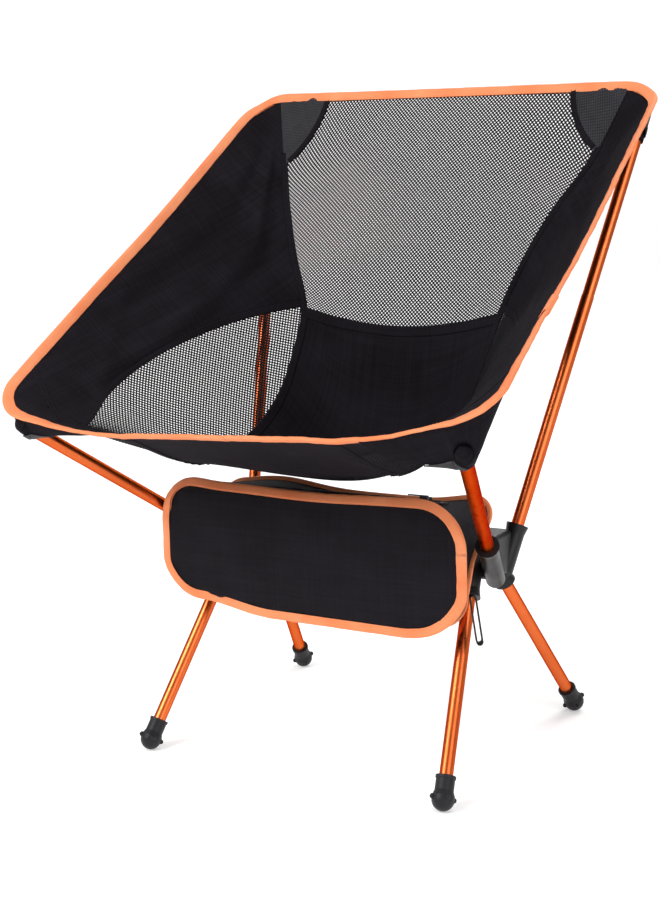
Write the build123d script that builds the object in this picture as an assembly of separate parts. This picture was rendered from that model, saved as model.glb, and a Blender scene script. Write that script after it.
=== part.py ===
"""Ultralight backpacking chair: a shock-corded tube frame with two hubs, a sewn bucket seat and a carry bag.

Millimetres. X runs across the chair, -Y is the way the sitter faces, +Z is up and z = 0 is the ground.
Left and right are the sitter's, so the left side is at +X. The frame and the seat are symmetric about x = 0.
"""

from build123d import *
import math
import os

# How far a cutting shape reaches past what it cuts, and the least straight edge between two roundings
BEYOND = 30.0
ROUNDING_MARGIN = 0.1

# Tubes
TUBE_R = 6.5
TUBE_WALL = 1.0
UPPER_POLE_R = 6.1
CORD_R = 1.5

# Frame skeleton, left side: hub ends, ground points and pole tips
FRONT_LEG_TOP = Vector(139.0, -2.0, 209.5)
FRONT_LEG_GROUND = Vector(170.5, -144.0, 0)
REAR_LEG_TOP = Vector(136.5, 32.5, 204.5)
REAR_LEG_GROUND = Vector(177.5, 179.0, 0)
FRONT_POLE_LOW = Vector(154.0, 13.5, 183.0)
FRONT_POLE_TIP = Vector(234.5, -220.5, 344.5)
REAR_POLE_LOW = Vector(154.0, 36.0, 188.5)
REAR_POLE_TIP = Vector(228.5, 226.5, 636.0)
CROSSBAR_Y = 17.0
CROSSBAR_Z = 197.0
CROSSBAR_HALF = 140.0

# Hub
SOCKET_WALL = 3.2
SOCKET_FLOOR = 4.0
LEG_CLEARANCE = 0.06
POLE_CLEARANCE = 0.02
LEG_SOCKET = 46.0
FRONT_POLE_SOCKET = 90.0
REAR_POLE_SOCKET = 45.0
MOUTH_FLARE = 1.8
FLARE_LENGTH = 9.0
COLLAR_LENGTH = 24.0
CORE_AT = Vector(148.0, 18.0, 206.0)
CORE_SIZE = (26.0, 46.0, 44.0)
CORE_FILLET = 5.0
RIVET_R = 2.0
RIVET_HEAD_R = 3.6
RIVET_HEAD_T = 1.2
RIVET_INSET = 12.0

# Feet
FOOT_R = 10.75
FOOT_COLLAR_R = 9.0
FOOT_LENGTH = 34.0
FOOT_BALL = 12.3
FOOT_BODY_TOP = 15.3
FOOT_NECK = 20.3
FOOT_RIM_W = 0.7
FOOT_RIM_H = 2.4
FOOT_LOBE_R = 2.6
FOOT_LOBE_RISE = 1.0
LEG_END = 9.0

# Rear pole joint
FERRULE_AT = 292.0
FERRULE_LENGTH = 60.0
FERRULE_WALL = 0.8
UPPER_EXTRA_WALL = 0.3
CORD_INSET = 2.0

# Pole tips and pockets
TIP_STEM = 14.0
TIP_HEAD = 11.0
POCKET_DEPTH = 34.0
POCKET_WALL = 1.6
POCKET_GAP = 1.2
PLUG_CLEARANCE = 0.05

# Seat cloth: one row per rib from the front edge to the top edge.
# Each row is the centre line (y, z), the seam (x, y, z) and the outer edge (x, y, z).
FABRIC = 1.6
RIBS = [
    ((-222, 347), (112, -231, 349), (264, -240, 370)),
    ((-145, 309), (112, -147, 315), (263, -194, 401)),
    ((-70, 286), (111, -74, 303), (261, -138, 438)),
    ((-8, 275), (110, -12, 317), (259, -73, 481)),
    ((45, 279), (111, 42, 350), (257, -8, 524)),
    ((83, 319), (114, 79, 395), (256, 52, 564)),
    ((108, 421), (120, 105, 437), (255, 94, 592)),
    ((133, 499), (138, 121, 491), (254, 131, 616)),
    ((157, 558), (158, 144, 537), (253, 164, 638)),
    ((184, 616), (181, 177, 584), (252, 192, 656)),
    ((214, 676), (211, 218, 677), (251, 224, 678)),
]
SEAT_RIBS = 6
FRONT_CORNER_R = 45.0
TOP_CORNER_R = 30.0
CUT_DEPTH = 40.0
PATCH_R = 72.0
BINDING_R = 2.6
SEAM_BEND_R = 500.0

# Side window: its upper edge as seen from the side (y, z)
WINDOW_TOP = [(116, 444), (-10, 421), (-200, 346)]
WINDOW_LOW = 150.0
WINDOW_REACH = 300.0

# Carry bag
BAG_FRONT_X = -2.0
BAG_W = 346.0
BAG_H = 132.0
BAG_CORNER = 46.0
BAG_FRONT_Y = -91.0
BAG_FRONT_Z = 211.0
BAG_REAR_X = 0.0
BAG_REAR_W = 304.0
BAG_REAR_H = 122.0
BAG_REAR_CORNER = 24.0
BAG_REAR_Y = -36.0
BAG_REAR_Z = 206.0
BAG_REAR_TILT = 23.0
BAG_PANEL = 2.4
BAG_CLOTH = 1.6
BAG_WALL_INSET = 2.0
BAG_PIPING = 3.6
STRAP_X = 96.0
STRAP_W = 25.0
STRAP_T = 1.6
STRAP_TAIL = 90.0
ZIP_LENGTH = 264.0
ZIP_TAPE_W = 24.0
ZIP_TAPE_T = 1.0
ZIP_COIL_W = 4.6
ZIP_COIL_T = 1.6
ZIP_END = 5.0
SLIDER_X = 112.0
SLIDER_L = 11.0
SLIDER_W = 9.0
SLIDER_H = 3.8
SLIDER_GAP = 0.35
SLIDER_CORNER = 2.5
PULL_L = 22.0
PULL_W = 5.0
PULL_T = 1.2
PULL_CORNER = 2.2
PULL_HOLE_R = 1.2
PULL_HOLE_AT = 3.5
PULL_FORWARD = 3.0
TAB_TOP = Vector(166.5, -66.0, 187.0)
TAB_W = 12.0
TAB_L = 50.0
TAB_T = 1.5
TAB_GAP = 4.0
TAB_LEAN = 8.0
TAB_TURN = 31.0

os.makedirs("parts", exist_ok=True)


def save(name, shape):
    """Write one sub-part to its own file."""
    shape.label = name
    export_step(shape, f"parts/{name}.step")


def both_sides(name, shape):
    """Write a left-hand sub-part and its mirror image."""
    save(f"{name}_left", shape)
    save(f"{name}_right", mirror(shape, about=Plane.YZ))


def at(start, end, distance):
    """The point that lies a distance from start on the line to end."""
    return start + (end - start).normalized() * distance


def rod(start, end, radius):
    """A solid round bar between two points."""
    length = (end - start).length
    bar = Cylinder(radius, length, align=(Align.CENTER, Align.CENTER, Align.MIN))
    return Plane(origin=start, z_dir=end - start) * bar


def tube(start, end, radius, wall=TUBE_WALL):
    """A hollow round tube between two points."""
    return rod(start, end, radius) - rod(at(start, end, -1), at(end, start, -1), radius - wall)


def cone(start, end, radius, end_radius):
    """A round taper between two points."""
    length = (end - start).length
    taper = Cone(radius, end_radius, length, align=(Align.CENTER, Align.CENTER, Align.MIN))
    return Plane(origin=start, z_dir=end - start) * taper


# ---------------------------------------------------------------- tubes


def make_legs():
    """Four leg tubes with the shock cord inside each."""
    for name, top, ground in (
        ("leg_front", FRONT_LEG_TOP, FRONT_LEG_GROUND),
        ("leg_rear", REAR_LEG_TOP, REAR_LEG_GROUND),
    ):
        end = at(ground, top, LEG_END)
        both_sides(name, tube(top, end, TUBE_R))
        both_sides(f"{name}_cord", rod(at(top, end, CORD_INSET), at(end, top, CORD_INSET), CORD_R))


def make_poles():
    """Front poles in one piece, and rear poles in two joined by an inner ferrule."""
    both_sides("front_pole", tube(FRONT_POLE_LOW, FRONT_POLE_TIP, TUBE_R))
    low, tip = REAR_POLE_LOW, REAR_POLE_TIP
    joint = at(low, tip, FERRULE_AT)
    bore_r = TUBE_R - TUBE_WALL
    both_sides("rear_pole_lower", tube(low, joint, TUBE_R))
    upper_wall = UPPER_POLE_R - bore_r + UPPER_EXTRA_WALL
    both_sides("rear_pole_upper", tube(joint, tip, UPPER_POLE_R, upper_wall))
    ferrule_start = at(joint, low, FERRULE_LENGTH / 2)
    ferrule_end = at(joint, tip, FERRULE_LENGTH / 2)
    inner_r = bore_r - UPPER_EXTRA_WALL - POLE_CLEARANCE
    both_sides("pole_ferrule", tube(ferrule_start, ferrule_end, inner_r, FERRULE_WALL))
    for name, start, end in (
        ("front_pole_cord", FRONT_POLE_LOW, FRONT_POLE_TIP),
        ("rear_pole_cord", low, tip),
    ):
        both_sides(name, rod(at(start, end, CORD_INSET), at(end, start, TIP_STEM + 1), CORD_R))


def make_crossbar():
    """The bar between the hubs, with a rivet through each end."""
    left = Vector(CROSSBAR_HALF, CROSSBAR_Y, CROSSBAR_Z)
    right = Vector(-CROSSBAR_HALF, CROSSBAR_Y, CROSSBAR_Z)
    bar = tube(right, left, TUBE_R)
    rivet_x = CROSSBAR_HALF - RIVET_INSET
    rivets = []
    for x in (rivet_x, -rivet_x):
        low = Vector(x, CROSSBAR_Y, CROSSBAR_Z - TUBE_R - SOCKET_WALL)
        high = Vector(x, CROSSBAR_Y, CROSSBAR_Z + TUBE_R + SOCKET_WALL)
        bar -= rod(low, high, RIVET_R)
        heads = rod(at(low, high, -RIVET_HEAD_T), low, RIVET_HEAD_R)
        heads += rod(high, at(high, low, -RIVET_HEAD_T), RIVET_HEAD_R)
        rivets.append(rod(low, high, RIVET_R) + heads)
    save("crossbar", bar)
    save("hub_rivets", Compound(children=rivets))


# ---------------------------------------------------------------- hubs


def socket(bottom, mouth, depth, clearance):
    """The outside and the bore of one hub socket, which holds a tube that ends at bottom."""
    outer_r = TUBE_R + SOCKET_WALL
    lip = at(bottom, mouth, depth)
    outer = rod(at(bottom, mouth, -SOCKET_FLOOR), lip, outer_r)
    outer += cone(at(bottom, mouth, depth - FLARE_LENGTH), lip, outer_r, outer_r + MOUTH_FLARE)
    bore = rod(bottom, at(bottom, mouth, depth + BEYOND), TUBE_R + clearance)
    return outer, bore


def make_hubs():
    """Moulded hubs: two leg sockets inboard, two pole sockets outboard and a collar for the crossbar."""
    sockets = [
        socket(FRONT_LEG_TOP, FRONT_LEG_GROUND, LEG_SOCKET, LEG_CLEARANCE),
        socket(REAR_LEG_TOP, REAR_LEG_GROUND, LEG_SOCKET, LEG_CLEARANCE),
        socket(FRONT_POLE_LOW, FRONT_POLE_TIP, FRONT_POLE_SOCKET, POLE_CLEARANCE),
        socket(REAR_POLE_LOW, REAR_POLE_TIP, REAR_POLE_SOCKET, POLE_CLEARANCE),
    ]
    centre = Vector(CROSSBAR_HALF, CROSSBAR_Y, CROSSBAR_Z)
    collar_end = centre + Vector(SOCKET_FLOOR, 0, 0)
    collar = rod(centre - Vector(COLLAR_LENGTH, 0, 0), collar_end, TUBE_R + SOCKET_WALL)
    core = Pos(CORE_AT.X, CORE_AT.Y, CORE_AT.Z) * Box(*CORE_SIZE)
    core = fillet(core.edges(), CORE_FILLET)
    body = collar + core
    for outer, _ in sockets:
        body += outer
    for _, bore in sockets:
        body -= bore
    body -= rod(centre - Vector(COLLAR_LENGTH + BEYOND, 0, 0), centre, TUBE_R + POLE_CLEARANCE)
    rivet = Vector(CROSSBAR_HALF - RIVET_INSET, CROSSBAR_Y, CROSSBAR_Z)
    body -= rod(rivet - Vector(0, 0, BEYOND), rivet + Vector(0, 0, BEYOND), RIVET_R)
    both_sides("hub", body)


# ---------------------------------------------------------------- feet and tips


def make_feet():
    """Rubber caps on the legs: a ball with four lobes, a collar with a rim and a small flat on the ground."""
    rim_r = FOOT_COLLAR_R + FOOT_RIM_W
    for name, top, ground in (
        ("foot_front", FRONT_LEG_TOP, FRONT_LEG_GROUND),
        ("foot_rear", REAR_LEG_TOP, REAR_LEG_GROUND),
    ):
        local = Plane(origin=ground, z_dir=top - ground)
        profile = Polyline(
            (0, FOOT_BALL),
            (FOOT_R, FOOT_BALL),
            (FOOT_R, FOOT_BODY_TOP),
            (FOOT_COLLAR_R, FOOT_NECK),
            (FOOT_COLLAR_R, FOOT_LENGTH - FOOT_RIM_H - FOOT_RIM_W),
            (rim_r, FOOT_LENGTH - FOOT_RIM_H),
            (rim_r, FOOT_LENGTH),
            (0, FOOT_LENGTH),
            (0, FOOT_BALL),
        )
        cap = revolve(Plane.XZ * make_face(profile), Axis.Z)
        cap += Pos(0, 0, FOOT_BALL) * Sphere(FOOT_R)
        for quarter in range(4):
            lobe = Pos(FOOT_R, 0, FOOT_BALL + FOOT_LOBE_RISE) * Sphere(FOOT_LOBE_R)
            cap += Rot(0, 0, 45 + 90 * quarter) * lobe
        cap = local * cap
        cap -= rod(at(ground, top, LEG_END), at(ground, top, FOOT_LENGTH + BEYOND), TUBE_R)
        below = Pos(ground.X, ground.Y, -BEYOND / 2) * Box(2 * BEYOND, 2 * BEYOND, BEYOND)
        both_sides(name, cap - below)


def pole_tip(low, tip, radius):
    """A plastic plug in the end of a pole, with a rounded head."""
    straight = TIP_HEAD - TUBE_R
    diagonal = TUBE_R * math.sqrt(0.5)
    stem_r = radius - PLUG_CLEARANCE
    outline = [
        Polyline((0, -TIP_STEM), (stem_r, -TIP_STEM), (stem_r, 0), (TUBE_R, 0), (TUBE_R, straight)),
        ThreePointArc((TUBE_R, straight), (diagonal, straight + diagonal), (0, TIP_HEAD)),
        Line((0, TIP_HEAD), (0, -TIP_STEM)),
    ]
    edges = [edge for curve in outline for edge in curve.edges()]
    return Plane(origin=tip, z_dir=tip - low) * revolve(Plane.XZ * make_face(edges), Axis.Z)


def pocket(low, tip):
    """A sewn sleeve with a closed end, over a pole tip."""
    inner_r = TUBE_R + POCKET_GAP
    start = at(tip, low, POCKET_DEPTH - TIP_HEAD)
    end = at(tip, low, -TIP_HEAD - 1)
    sleeve = rod(start, at(end, tip, -POCKET_WALL), inner_r + POCKET_WALL)
    return sleeve - rod(at(start, end, -1), end, inner_r)


def make_tips_and_pockets():
    """Pole tips and the reinforced pockets that they push into."""
    bore_r = TUBE_R - TUBE_WALL
    for name, low, tip, radius in (
        ("front", FRONT_POLE_LOW, FRONT_POLE_TIP, bore_r),
        ("rear", REAR_POLE_LOW, REAR_POLE_TIP, bore_r - UPPER_EXTRA_WALL),
    ):
        both_sides(f"{name}_pole_tip", pole_tip(low, tip, radius))
        both_sides(f"{name}_pocket", pocket(low, tip))


# ---------------------------------------------------------------- seat


def strip_row(rib, columns=6):
    """Points across the centre strip at one rib, from seam to seam, sagging to the centre line."""
    (centre_y, centre_z), seam, _ = rib
    row = []
    for i in range(-columns, columns + 1):
        across = i / columns
        pull = across * across
        y = centre_y + (seam[1] - centre_y) * pull
        z = centre_z + (seam[2] - centre_z) * pull
        row.append(Vector(seam[0] * across, y, z))
    return row


def side_row(rib, columns=4):
    """Points across the left side panel at one rib, from the seam to the outer edge."""
    seam, edge = Vector(*rib[1]), Vector(*rib[2])
    return [seam + (edge - seam) * (i / columns) for i in range(columns + 1)]


def cloth(rows, thickness=FABRIC):
    """A sheet of cloth through rows of points."""
    face = Face.make_surface_from_array_of_points(rows)
    return Part() + thicken(face, thickness / 2, both=True)


def corner_cut(tip, along_a, along_b, radius):
    """The sharp corner that lies outside a rounded corner of the cloth."""
    a = (along_a - tip).normalized()
    b = (along_b - tip).normalized()
    plane = Plane(origin=tip, x_dir=a, z_dir=a.cross(b))
    half = a.get_angle(b) / 2
    reach = radius / math.tan(math.radians(half))
    bisector = (a + b).normalized()
    middle = tip + bisector * (radius / math.sin(math.radians(half)))
    touch_a, touch_b = (plane.to_local_coords(tip + side * reach) for side in (a, b))
    centre = plane.to_local_coords(middle)
    outside = plane.to_local_coords(tip - bisector * BEYOND)
    wide_a, wide_b = (plane.to_local_coords(tip + s * reach - o * BEYOND) for s, o in ((a, b), (b, a)))
    face = make_face(Polyline(touch_a, wide_a, outside, wide_b, touch_b, centre, touch_a))
    face -= Pos(centre.X, centre.Y) * Circle(radius)
    return extrude(plane * face, CUT_DEPTH, both=True)


def make_seat():
    """Centre strip, side panels, mesh windows and corner patches."""
    seat = cloth([strip_row(rib) for rib in RIBS[: SEAT_RIBS + 1]])
    back = cloth([strip_row(rib) for rib in RIBS[SEAT_RIBS:]])
    side = cloth([side_row(rib) for rib in RIBS])
    save("seat_panel", seat)

    seam_top = Vector(*RIBS[-1][1])
    patch_ball = Pos(seam_top.X, seam_top.Y, seam_top.Z) * Sphere(PATCH_R)
    patch = back & patch_ball
    both_sides("corner_patch", patch)
    save("back_mesh", back - patch_ball - mirror(patch_ball, about=Plane.YZ))

    front_tip, top_tip = Vector(*RIBS[0][2]), Vector(*RIBS[-1][2])
    side -= corner_cut(front_tip, Vector(*RIBS[0][1]), Vector(*RIBS[4][2]), FRONT_CORNER_R)
    side -= corner_cut(top_tip, Vector(*RIBS[-1][1]), Vector(*RIBS[-4][2]), TOP_CORNER_R)
    arc = ThreePointArc(*WINDOW_TOP)
    (rear_y, rear_z), (front_y, front_z) = WINDOW_TOP[0], WINDOW_TOP[-1]
    rest = Polyline((front_y, front_z), (front_y, WINDOW_LOW), (rear_y, WINDOW_LOW), (rear_y, rear_z))
    window_face = Plane.YZ * make_face([arc, *rest.edges()])
    window_tool = extrude(window_face, WINDOW_REACH)
    both_sides("side_mesh", side & window_tool)
    both_sides("side_panel", side - window_tool)


def make_binding():
    """The tape that is folded over the whole edge of the seat."""
    front, top = RIBS[0], RIBS[-1]
    corner_front, corner_top = Vector(*front[2]), Vector(*top[2])
    points = [
        Vector(0, *front[0]),
        Vector(*front[1]),
        corner_front,
        corner_top,
        Vector(*top[1]),
        Vector(0, *top[0]),
    ]
    half = FilletPolyline(*points, radius=[SEAM_BEND_R, FRONT_CORNER_R, TOP_CORNER_R, SEAM_BEND_R])
    section = Plane(origin=half @ 0, z_dir=half % 0) * Circle(BINDING_R)
    left = sweep(section, path=half)
    save("edge_binding", left + mirror(left, about=Plane.YZ))


# ---------------------------------------------------------------- carry bag


def rounded_face(plane, width, height, corner, grow=0.0):
    """A rounded rectangle on a plane, grown outwards by an amount."""
    return plane * RectangleRounded(width + 2 * grow, height + 2 * grow, corner + grow)


def bag_planes():
    """The planes of the front and the rear panel, each facing outwards from the bag."""
    front = Plane(origin=(BAG_FRONT_X, BAG_FRONT_Y, BAG_FRONT_Z), x_dir=(1, 0, 0), z_dir=(0, -1, 0))
    tilt = math.radians(BAG_REAR_TILT)
    rear_normal = (0, math.cos(tilt), -math.sin(tilt))
    rear = Plane(origin=(BAG_REAR_X, BAG_REAR_Y, BAG_REAR_Z), x_dir=(-1, 0, 0), z_dir=rear_normal)
    return front, rear


def piping(plane, width, height, corner):
    """Binding tape round the edge of a bag panel."""
    outer = rounded_face(plane, width, height, corner, BAG_PIPING / 2)
    inner = rounded_face(plane, width, height, corner, -BAG_PIPING / 2)
    return extrude(outer - inner, BAG_PIPING / 2, both=True)


def make_bag():
    """Front and rear panels with bound edges, and the wall between them with a zip along its top."""
    front, rear = bag_planes()
    inset = BAG_PIPING / 2
    front_face = rounded_face(front, BAG_W, BAG_H, BAG_CORNER, -inset)
    rear_face = rounded_face(rear, BAG_REAR_W, BAG_REAR_H, BAG_REAR_CORNER, -inset)
    save("bag_front_panel", extrude(front_face, BAG_PANEL / 2, both=True))
    save("bag_rear_panel", extrude(rear_face, BAG_PANEL / 2, both=True))
    save("bag_front_binding", piping(front, BAG_W, BAG_H, BAG_CORNER))
    save("bag_rear_binding", piping(rear, BAG_REAR_W, BAG_REAR_H, BAG_REAR_CORNER))

    front_back = front.offset(-BAG_PIPING / 2)
    rear_back = rear.offset(-BAG_PIPING / 2)
    rear_back = Plane(origin=rear_back.origin, x_dir=(1, 0, 0), z_dir=-rear_back.z_dir)
    walls = []
    for shrink in (BAG_WALL_INSET, BAG_WALL_INSET + BAG_CLOTH):
        near = rounded_face(front_back, BAG_W, BAG_H, BAG_CORNER, -shrink)
        far = rounded_face(rear_back, BAG_REAR_W, BAG_REAR_H, BAG_REAR_CORNER, -shrink)
        walls.append(loft([near, far]))
    save("bag_wall", walls[0] - walls[1])


def bag_top_plane():
    """The flat top of the bag wall, with x along the zip and z pointing up out of the bag."""
    front_y = BAG_FRONT_Y + BAG_PIPING / 2
    front_z = BAG_FRONT_Z + BAG_H / 2 - BAG_WALL_INSET
    tilt = math.radians(BAG_REAR_TILT)
    up = BAG_REAR_H / 2 - BAG_WALL_INSET
    rear_y = BAG_REAR_Y - BAG_PIPING / 2 * math.cos(tilt) + up * math.sin(tilt)
    rear_z = BAG_REAR_Z + BAG_PIPING / 2 * math.sin(tilt) + up * math.cos(tilt)
    normal = (0, front_z - rear_z, rear_y - front_y)
    middle = ((BAG_FRONT_X + BAG_REAR_X) / 2, (front_y + rear_y) / 2, (front_z + rear_z) / 2)
    return Plane(origin=middle, x_dir=(1, 0, 0), z_dir=normal)


def make_zip():
    """Zip tape and coil on top of the bag, and the slider with its pull, which runs on the coil."""
    top = bag_top_plane()
    on_top = (Align.CENTER, Align.CENTER, Align.MIN)
    tape = Box(ZIP_LENGTH, ZIP_TAPE_W, ZIP_TAPE_T, align=on_top)
    coil = Pos(0, 0, ZIP_TAPE_T) * Box(ZIP_LENGTH - 2 * ZIP_END, ZIP_COIL_W, ZIP_COIL_T, align=on_top)
    save("bag_zip", top * (tape + coil))
    floor = ZIP_TAPE_T + SLIDER_GAP
    body = Pos(0, 0, floor) * Box(SLIDER_L, SLIDER_W, SLIDER_H, align=on_top)
    body = fillet(body.edges().filter_by(Axis.Z), SLIDER_CORNER)
    body -= Pos(0, 0, floor) * Box(SLIDER_L + 2, ZIP_COIL_W + 2 * SLIDER_GAP, ZIP_COIL_T, align=on_top)
    save("zip_slider", top * Pos(SLIDER_X, 0, 0) * body)
    pull = Pos(-PULL_L / 2, 0, 0) * RectangleRounded(PULL_L, PULL_W, PULL_CORNER)
    pull -= Pos(PULL_HOLE_AT - PULL_L, 0, 0) * Circle(PULL_HOLE_R)
    plate = extrude(pull, PULL_T)
    save("zip_pull", top * Pos(SLIDER_X + PULL_FORWARD, 0, floor + SLIDER_H) * plate)


def make_straps():
    """Hook-and-loop straps: a loop round the crossbar and a tail back to the rear panel of the bag."""
    inner_r = TUBE_R
    outer_r = TUBE_R + STRAP_T
    _, rear = bag_planes()
    back_face = rear.offset(BAG_PANEL / 2)
    start = Vector(STRAP_X - STRAP_W / 2, CROSSBAR_Y, CROSSBAR_Z)
    end = Vector(STRAP_X + STRAP_W / 2, CROSSBAR_Y, CROSSBAR_Z)
    tail = Pos(STRAP_X, CROSSBAR_Y, CROSSBAR_Z) * Box(
        STRAP_W, STRAP_TAIL, 2 * STRAP_T, align=(Align.CENTER, Align.MAX, Align.CENTER)
    )
    beyond = back_face * Box(BAG_W, BAG_W, STRAP_TAIL, align=(Align.CENTER, Align.CENTER, Align.MAX))
    strap = rod(start, end, outer_r) + (tail - beyond)
    strap -= rod(start - Vector(1, 0, 0), end + Vector(1, 0, 0), inner_r)
    both_sides("bag_strap", strap)


def make_tab():
    """A folded webbing tab that hangs from the end of the bag."""
    outer = RectangleRounded(TAB_GAP + 2 * TAB_T, TAB_L, (TAB_GAP + 2 * TAB_T) / 2 - ROUNDING_MARGIN)
    inner = RectangleRounded(TAB_GAP, TAB_L - 2 * TAB_T, TAB_GAP / 2 - ROUNDING_MARGIN)
    loop = extrude(Plane.XZ * (outer - inner), TAB_W / 2, both=True)
    hang = Pos(TAB_TOP.X, TAB_TOP.Y, TAB_TOP.Z) * Rot(0, 0, TAB_TURN) * Rot(0, -TAB_LEAN, 0)
    hang = hang * Pos(0, 0, -TAB_L / 2)
    save("bag_tab", hang * loop)


make_legs()
make_poles()
make_crossbar()
make_hubs()
make_feet()
make_tips_and_pockets()
make_seat()
make_binding()
make_bag()
make_zip()
make_straps()
make_tab()
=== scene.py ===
"""Looks of a backpacking chair: sewn cloth, mesh, binding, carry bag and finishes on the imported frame.

Metres, in the frame's own axes: X runs across the chair, -Y is the way the sitter faces and +Z is up.
Tables of sizes are in millimetres, times MM. A place on a strip of cloth is its share of the way across
and its rib, counted from the front edge.
"""

import math

import bmesh
import bpy
import numpy as np
from mathutils import Matrix, Vector, noise


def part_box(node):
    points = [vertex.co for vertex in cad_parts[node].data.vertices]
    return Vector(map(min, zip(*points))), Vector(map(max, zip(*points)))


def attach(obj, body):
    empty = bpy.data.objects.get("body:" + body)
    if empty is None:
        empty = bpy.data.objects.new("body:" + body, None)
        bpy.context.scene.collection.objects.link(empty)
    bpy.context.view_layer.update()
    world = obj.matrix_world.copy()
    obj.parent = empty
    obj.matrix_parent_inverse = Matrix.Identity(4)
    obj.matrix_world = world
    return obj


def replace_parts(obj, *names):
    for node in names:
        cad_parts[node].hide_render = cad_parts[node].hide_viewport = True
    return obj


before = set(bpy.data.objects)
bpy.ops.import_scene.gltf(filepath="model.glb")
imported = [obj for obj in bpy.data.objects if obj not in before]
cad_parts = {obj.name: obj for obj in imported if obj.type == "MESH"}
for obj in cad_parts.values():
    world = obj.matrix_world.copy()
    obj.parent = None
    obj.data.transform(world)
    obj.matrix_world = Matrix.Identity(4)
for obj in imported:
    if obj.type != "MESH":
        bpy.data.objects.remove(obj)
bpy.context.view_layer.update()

MM = 0.001
SIDES = (("left", 1.0), ("right", -1.0))

# ---------------------------------------------------------------- seat table, the ribs of the CAD part

# Front edge to top edge: centre line y z, seam x y z, outer edge x y z. The seams of the back lie up to
# 9 mm further out than the CAD part's.
RIBS = MM * np.array(
    [
        (-222, 347, 112, -231, 349, 264, -240, 370),
        (-145, 309, 112, -147, 315, 263, -194, 401),
        (-70, 286, 111, -74, 303, 261, -138, 438),
        (-8, 275, 110, -12, 317, 259, -73, 481),
        (45, 279, 111, 42, 350, 257, -8, 524),
        (83, 319, 114, 79, 395, 256, 52, 564),
        (108, 421, 120, 105, 437, 255, 94, 592),
        (133, 499, 143, 121, 496, 254, 131, 616),
        (157, 558, 165, 145, 545, 253, 164, 638),
        (184, 616, 189, 179, 593, 252, 192, 656),
        (214, 676, 217, 219, 677, 251, 224, 678),
    ]
)
LAST = len(RIBS) - 1
BACK_RIB = 5.95
CLOTH = 0.8 * MM
PATCH_R = {"left": 63 * MM, "right": 72 * MM}

# Rounded corners of the side strip, as (place across where the rounding starts, its length in ribs)
FRONT_CORNER = (0.707, 0.81)
TOP_CORNER = (0.12, 1.0)
TOP_CORNER_TUCK = 0.15
ROUND_ABOVE = 580 * MM  # the rim's points are evened out above this height
RIM_PASSES, TURN_PASSES = 30, 12

# Upper edge of the side window, seen from the side: three points y z of one arc. It ends in a front corner,
# given as (rib, place across), and its edge climbs from there by a share of the width for each rib.
WINDOW_ARC = MM * np.array([(116, 444), (-10, 421), (-186, 352)])
WINDOW_CORNER = (0.55, 0.47)
WINDOW_CLIMB, WINDOW_CLIMB_END = 0.14, 1.2
SIDE_HEM_W, SIDE_HEM_T = 4.0 * MM, 1.0 * MM

# Seam of the doubled cloth in a front corner, from the side edge to the front hem: (place across, rib)
CORNER_SEAM = ((0.97, 1.28), (0.55, 0.32))

# How the sewn seat hangs on its poles, a little askew. Sideways moves grow with the square of the distance
# from the middle, up to their full size at HANG_REACH. A bump is (middle, half width).
HANG_REACH = 260 * MM
HANG_TILT = (0.038, 0.164, -230 * MM)  # slope across at the front edge, its change along Y, that edge's Y
HANG_LIFT = (2.5 * MM, 200 * MM)  # rise of the back, and where along Y it is complete
FRONT_LIFT, FRONT_BELLY = 2 * MM, 6 * MM
BELLY_RIM = ((165 * MM, 50 * MM), (-200 * MM, 60 * MM))  # bumps across and along Y
BELLY_DEEP = ((140 * MM, 40 * MM), (-120 * MM, 50 * MM))
HANG_SLIDE = (-2.5 * MM, 3 * MM, -160 * MM, 220 * MM)  # at the front, at the back, start and length along Y
HANG_SPREAD = (6 * MM, -100 * MM, 200 * MM)  # outwards at the front, start and length of its fade along Y
SLACK = (9 * MM, (-10 * MM, 100 * MM), (400 * MM, 55 * MM))  # size, bumps along Y and Z, on the left side
SLACK_FROM, SLACK_FADE = 112 * MM, 50 * MM
SLACK_IN, SLACK_UP = 0.75, 0.45

BINDING_W = 9.5 * MM
BINDING_T = 1.5 * MM
SPLICE_AT = 2.45
TAPE_T = 0.55 * MM
MESH_PITCH = 3.05 * MM
MESH_HOLE_R = {"back": 0.9 * MM, "window": 1.05 * MM}
MESH_SINK = 0.5 * MM
STITCH = (3.4 * MM, 2.5 * MM, 0.28 * MM)

# ---------------------------------------------------------------- carry bag

BAG_W, BAG_H, BAG_CORNER = 346 * MM, 132 * MM, 46 * MM
BAG_REAR_W, BAG_REAR_H, BAG_REAR_CORNER = 304 * MM, 122 * MM, 24 * MM
BAG_FRONT = MM * np.array([-2, -91, 211])
BAG_REAR = MM * np.array([0, -36, 206])
BAG_REAR_TILT = math.radians(23)
BAG_BINDING_W = 8.5 * MM
BAG_BINDING_T = 1.6 * MM
BAG_CROWN = 5 * MM
STRAP_X, STRAP_W, STRAP_T = 96 * MM, 25 * MM, 1.6 * MM
CROSSBAR = MM * np.array([0, 17, 197])
CROSSBAR_R = 6.5 * MM
TAB_TOP = MM * np.array([166.5, -66, 187])
TAB_W, TAB_L, TAB_T, TAB_GAP = 12 * MM, 50 * MM, 1.5 * MM, 4 * MM
TAB_LEAN, TAB_TURN = math.radians(8), math.radians(31)
ZIP_L, ZIP_W, ZIP_PITCH = 264 * MM, 24 * MM, 1.6 * MM

# ---------------------------------------------------------------- left poles: where each starts and ends

FRONT_POLE = MM * np.array([(154.0, 13.5, 183.0), (234.5, -220.5, 344.5)])
REAR_POLE = MM * np.array([(154.0, 36.0, 188.5), (228.5, 226.5, 636.0)])

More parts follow.
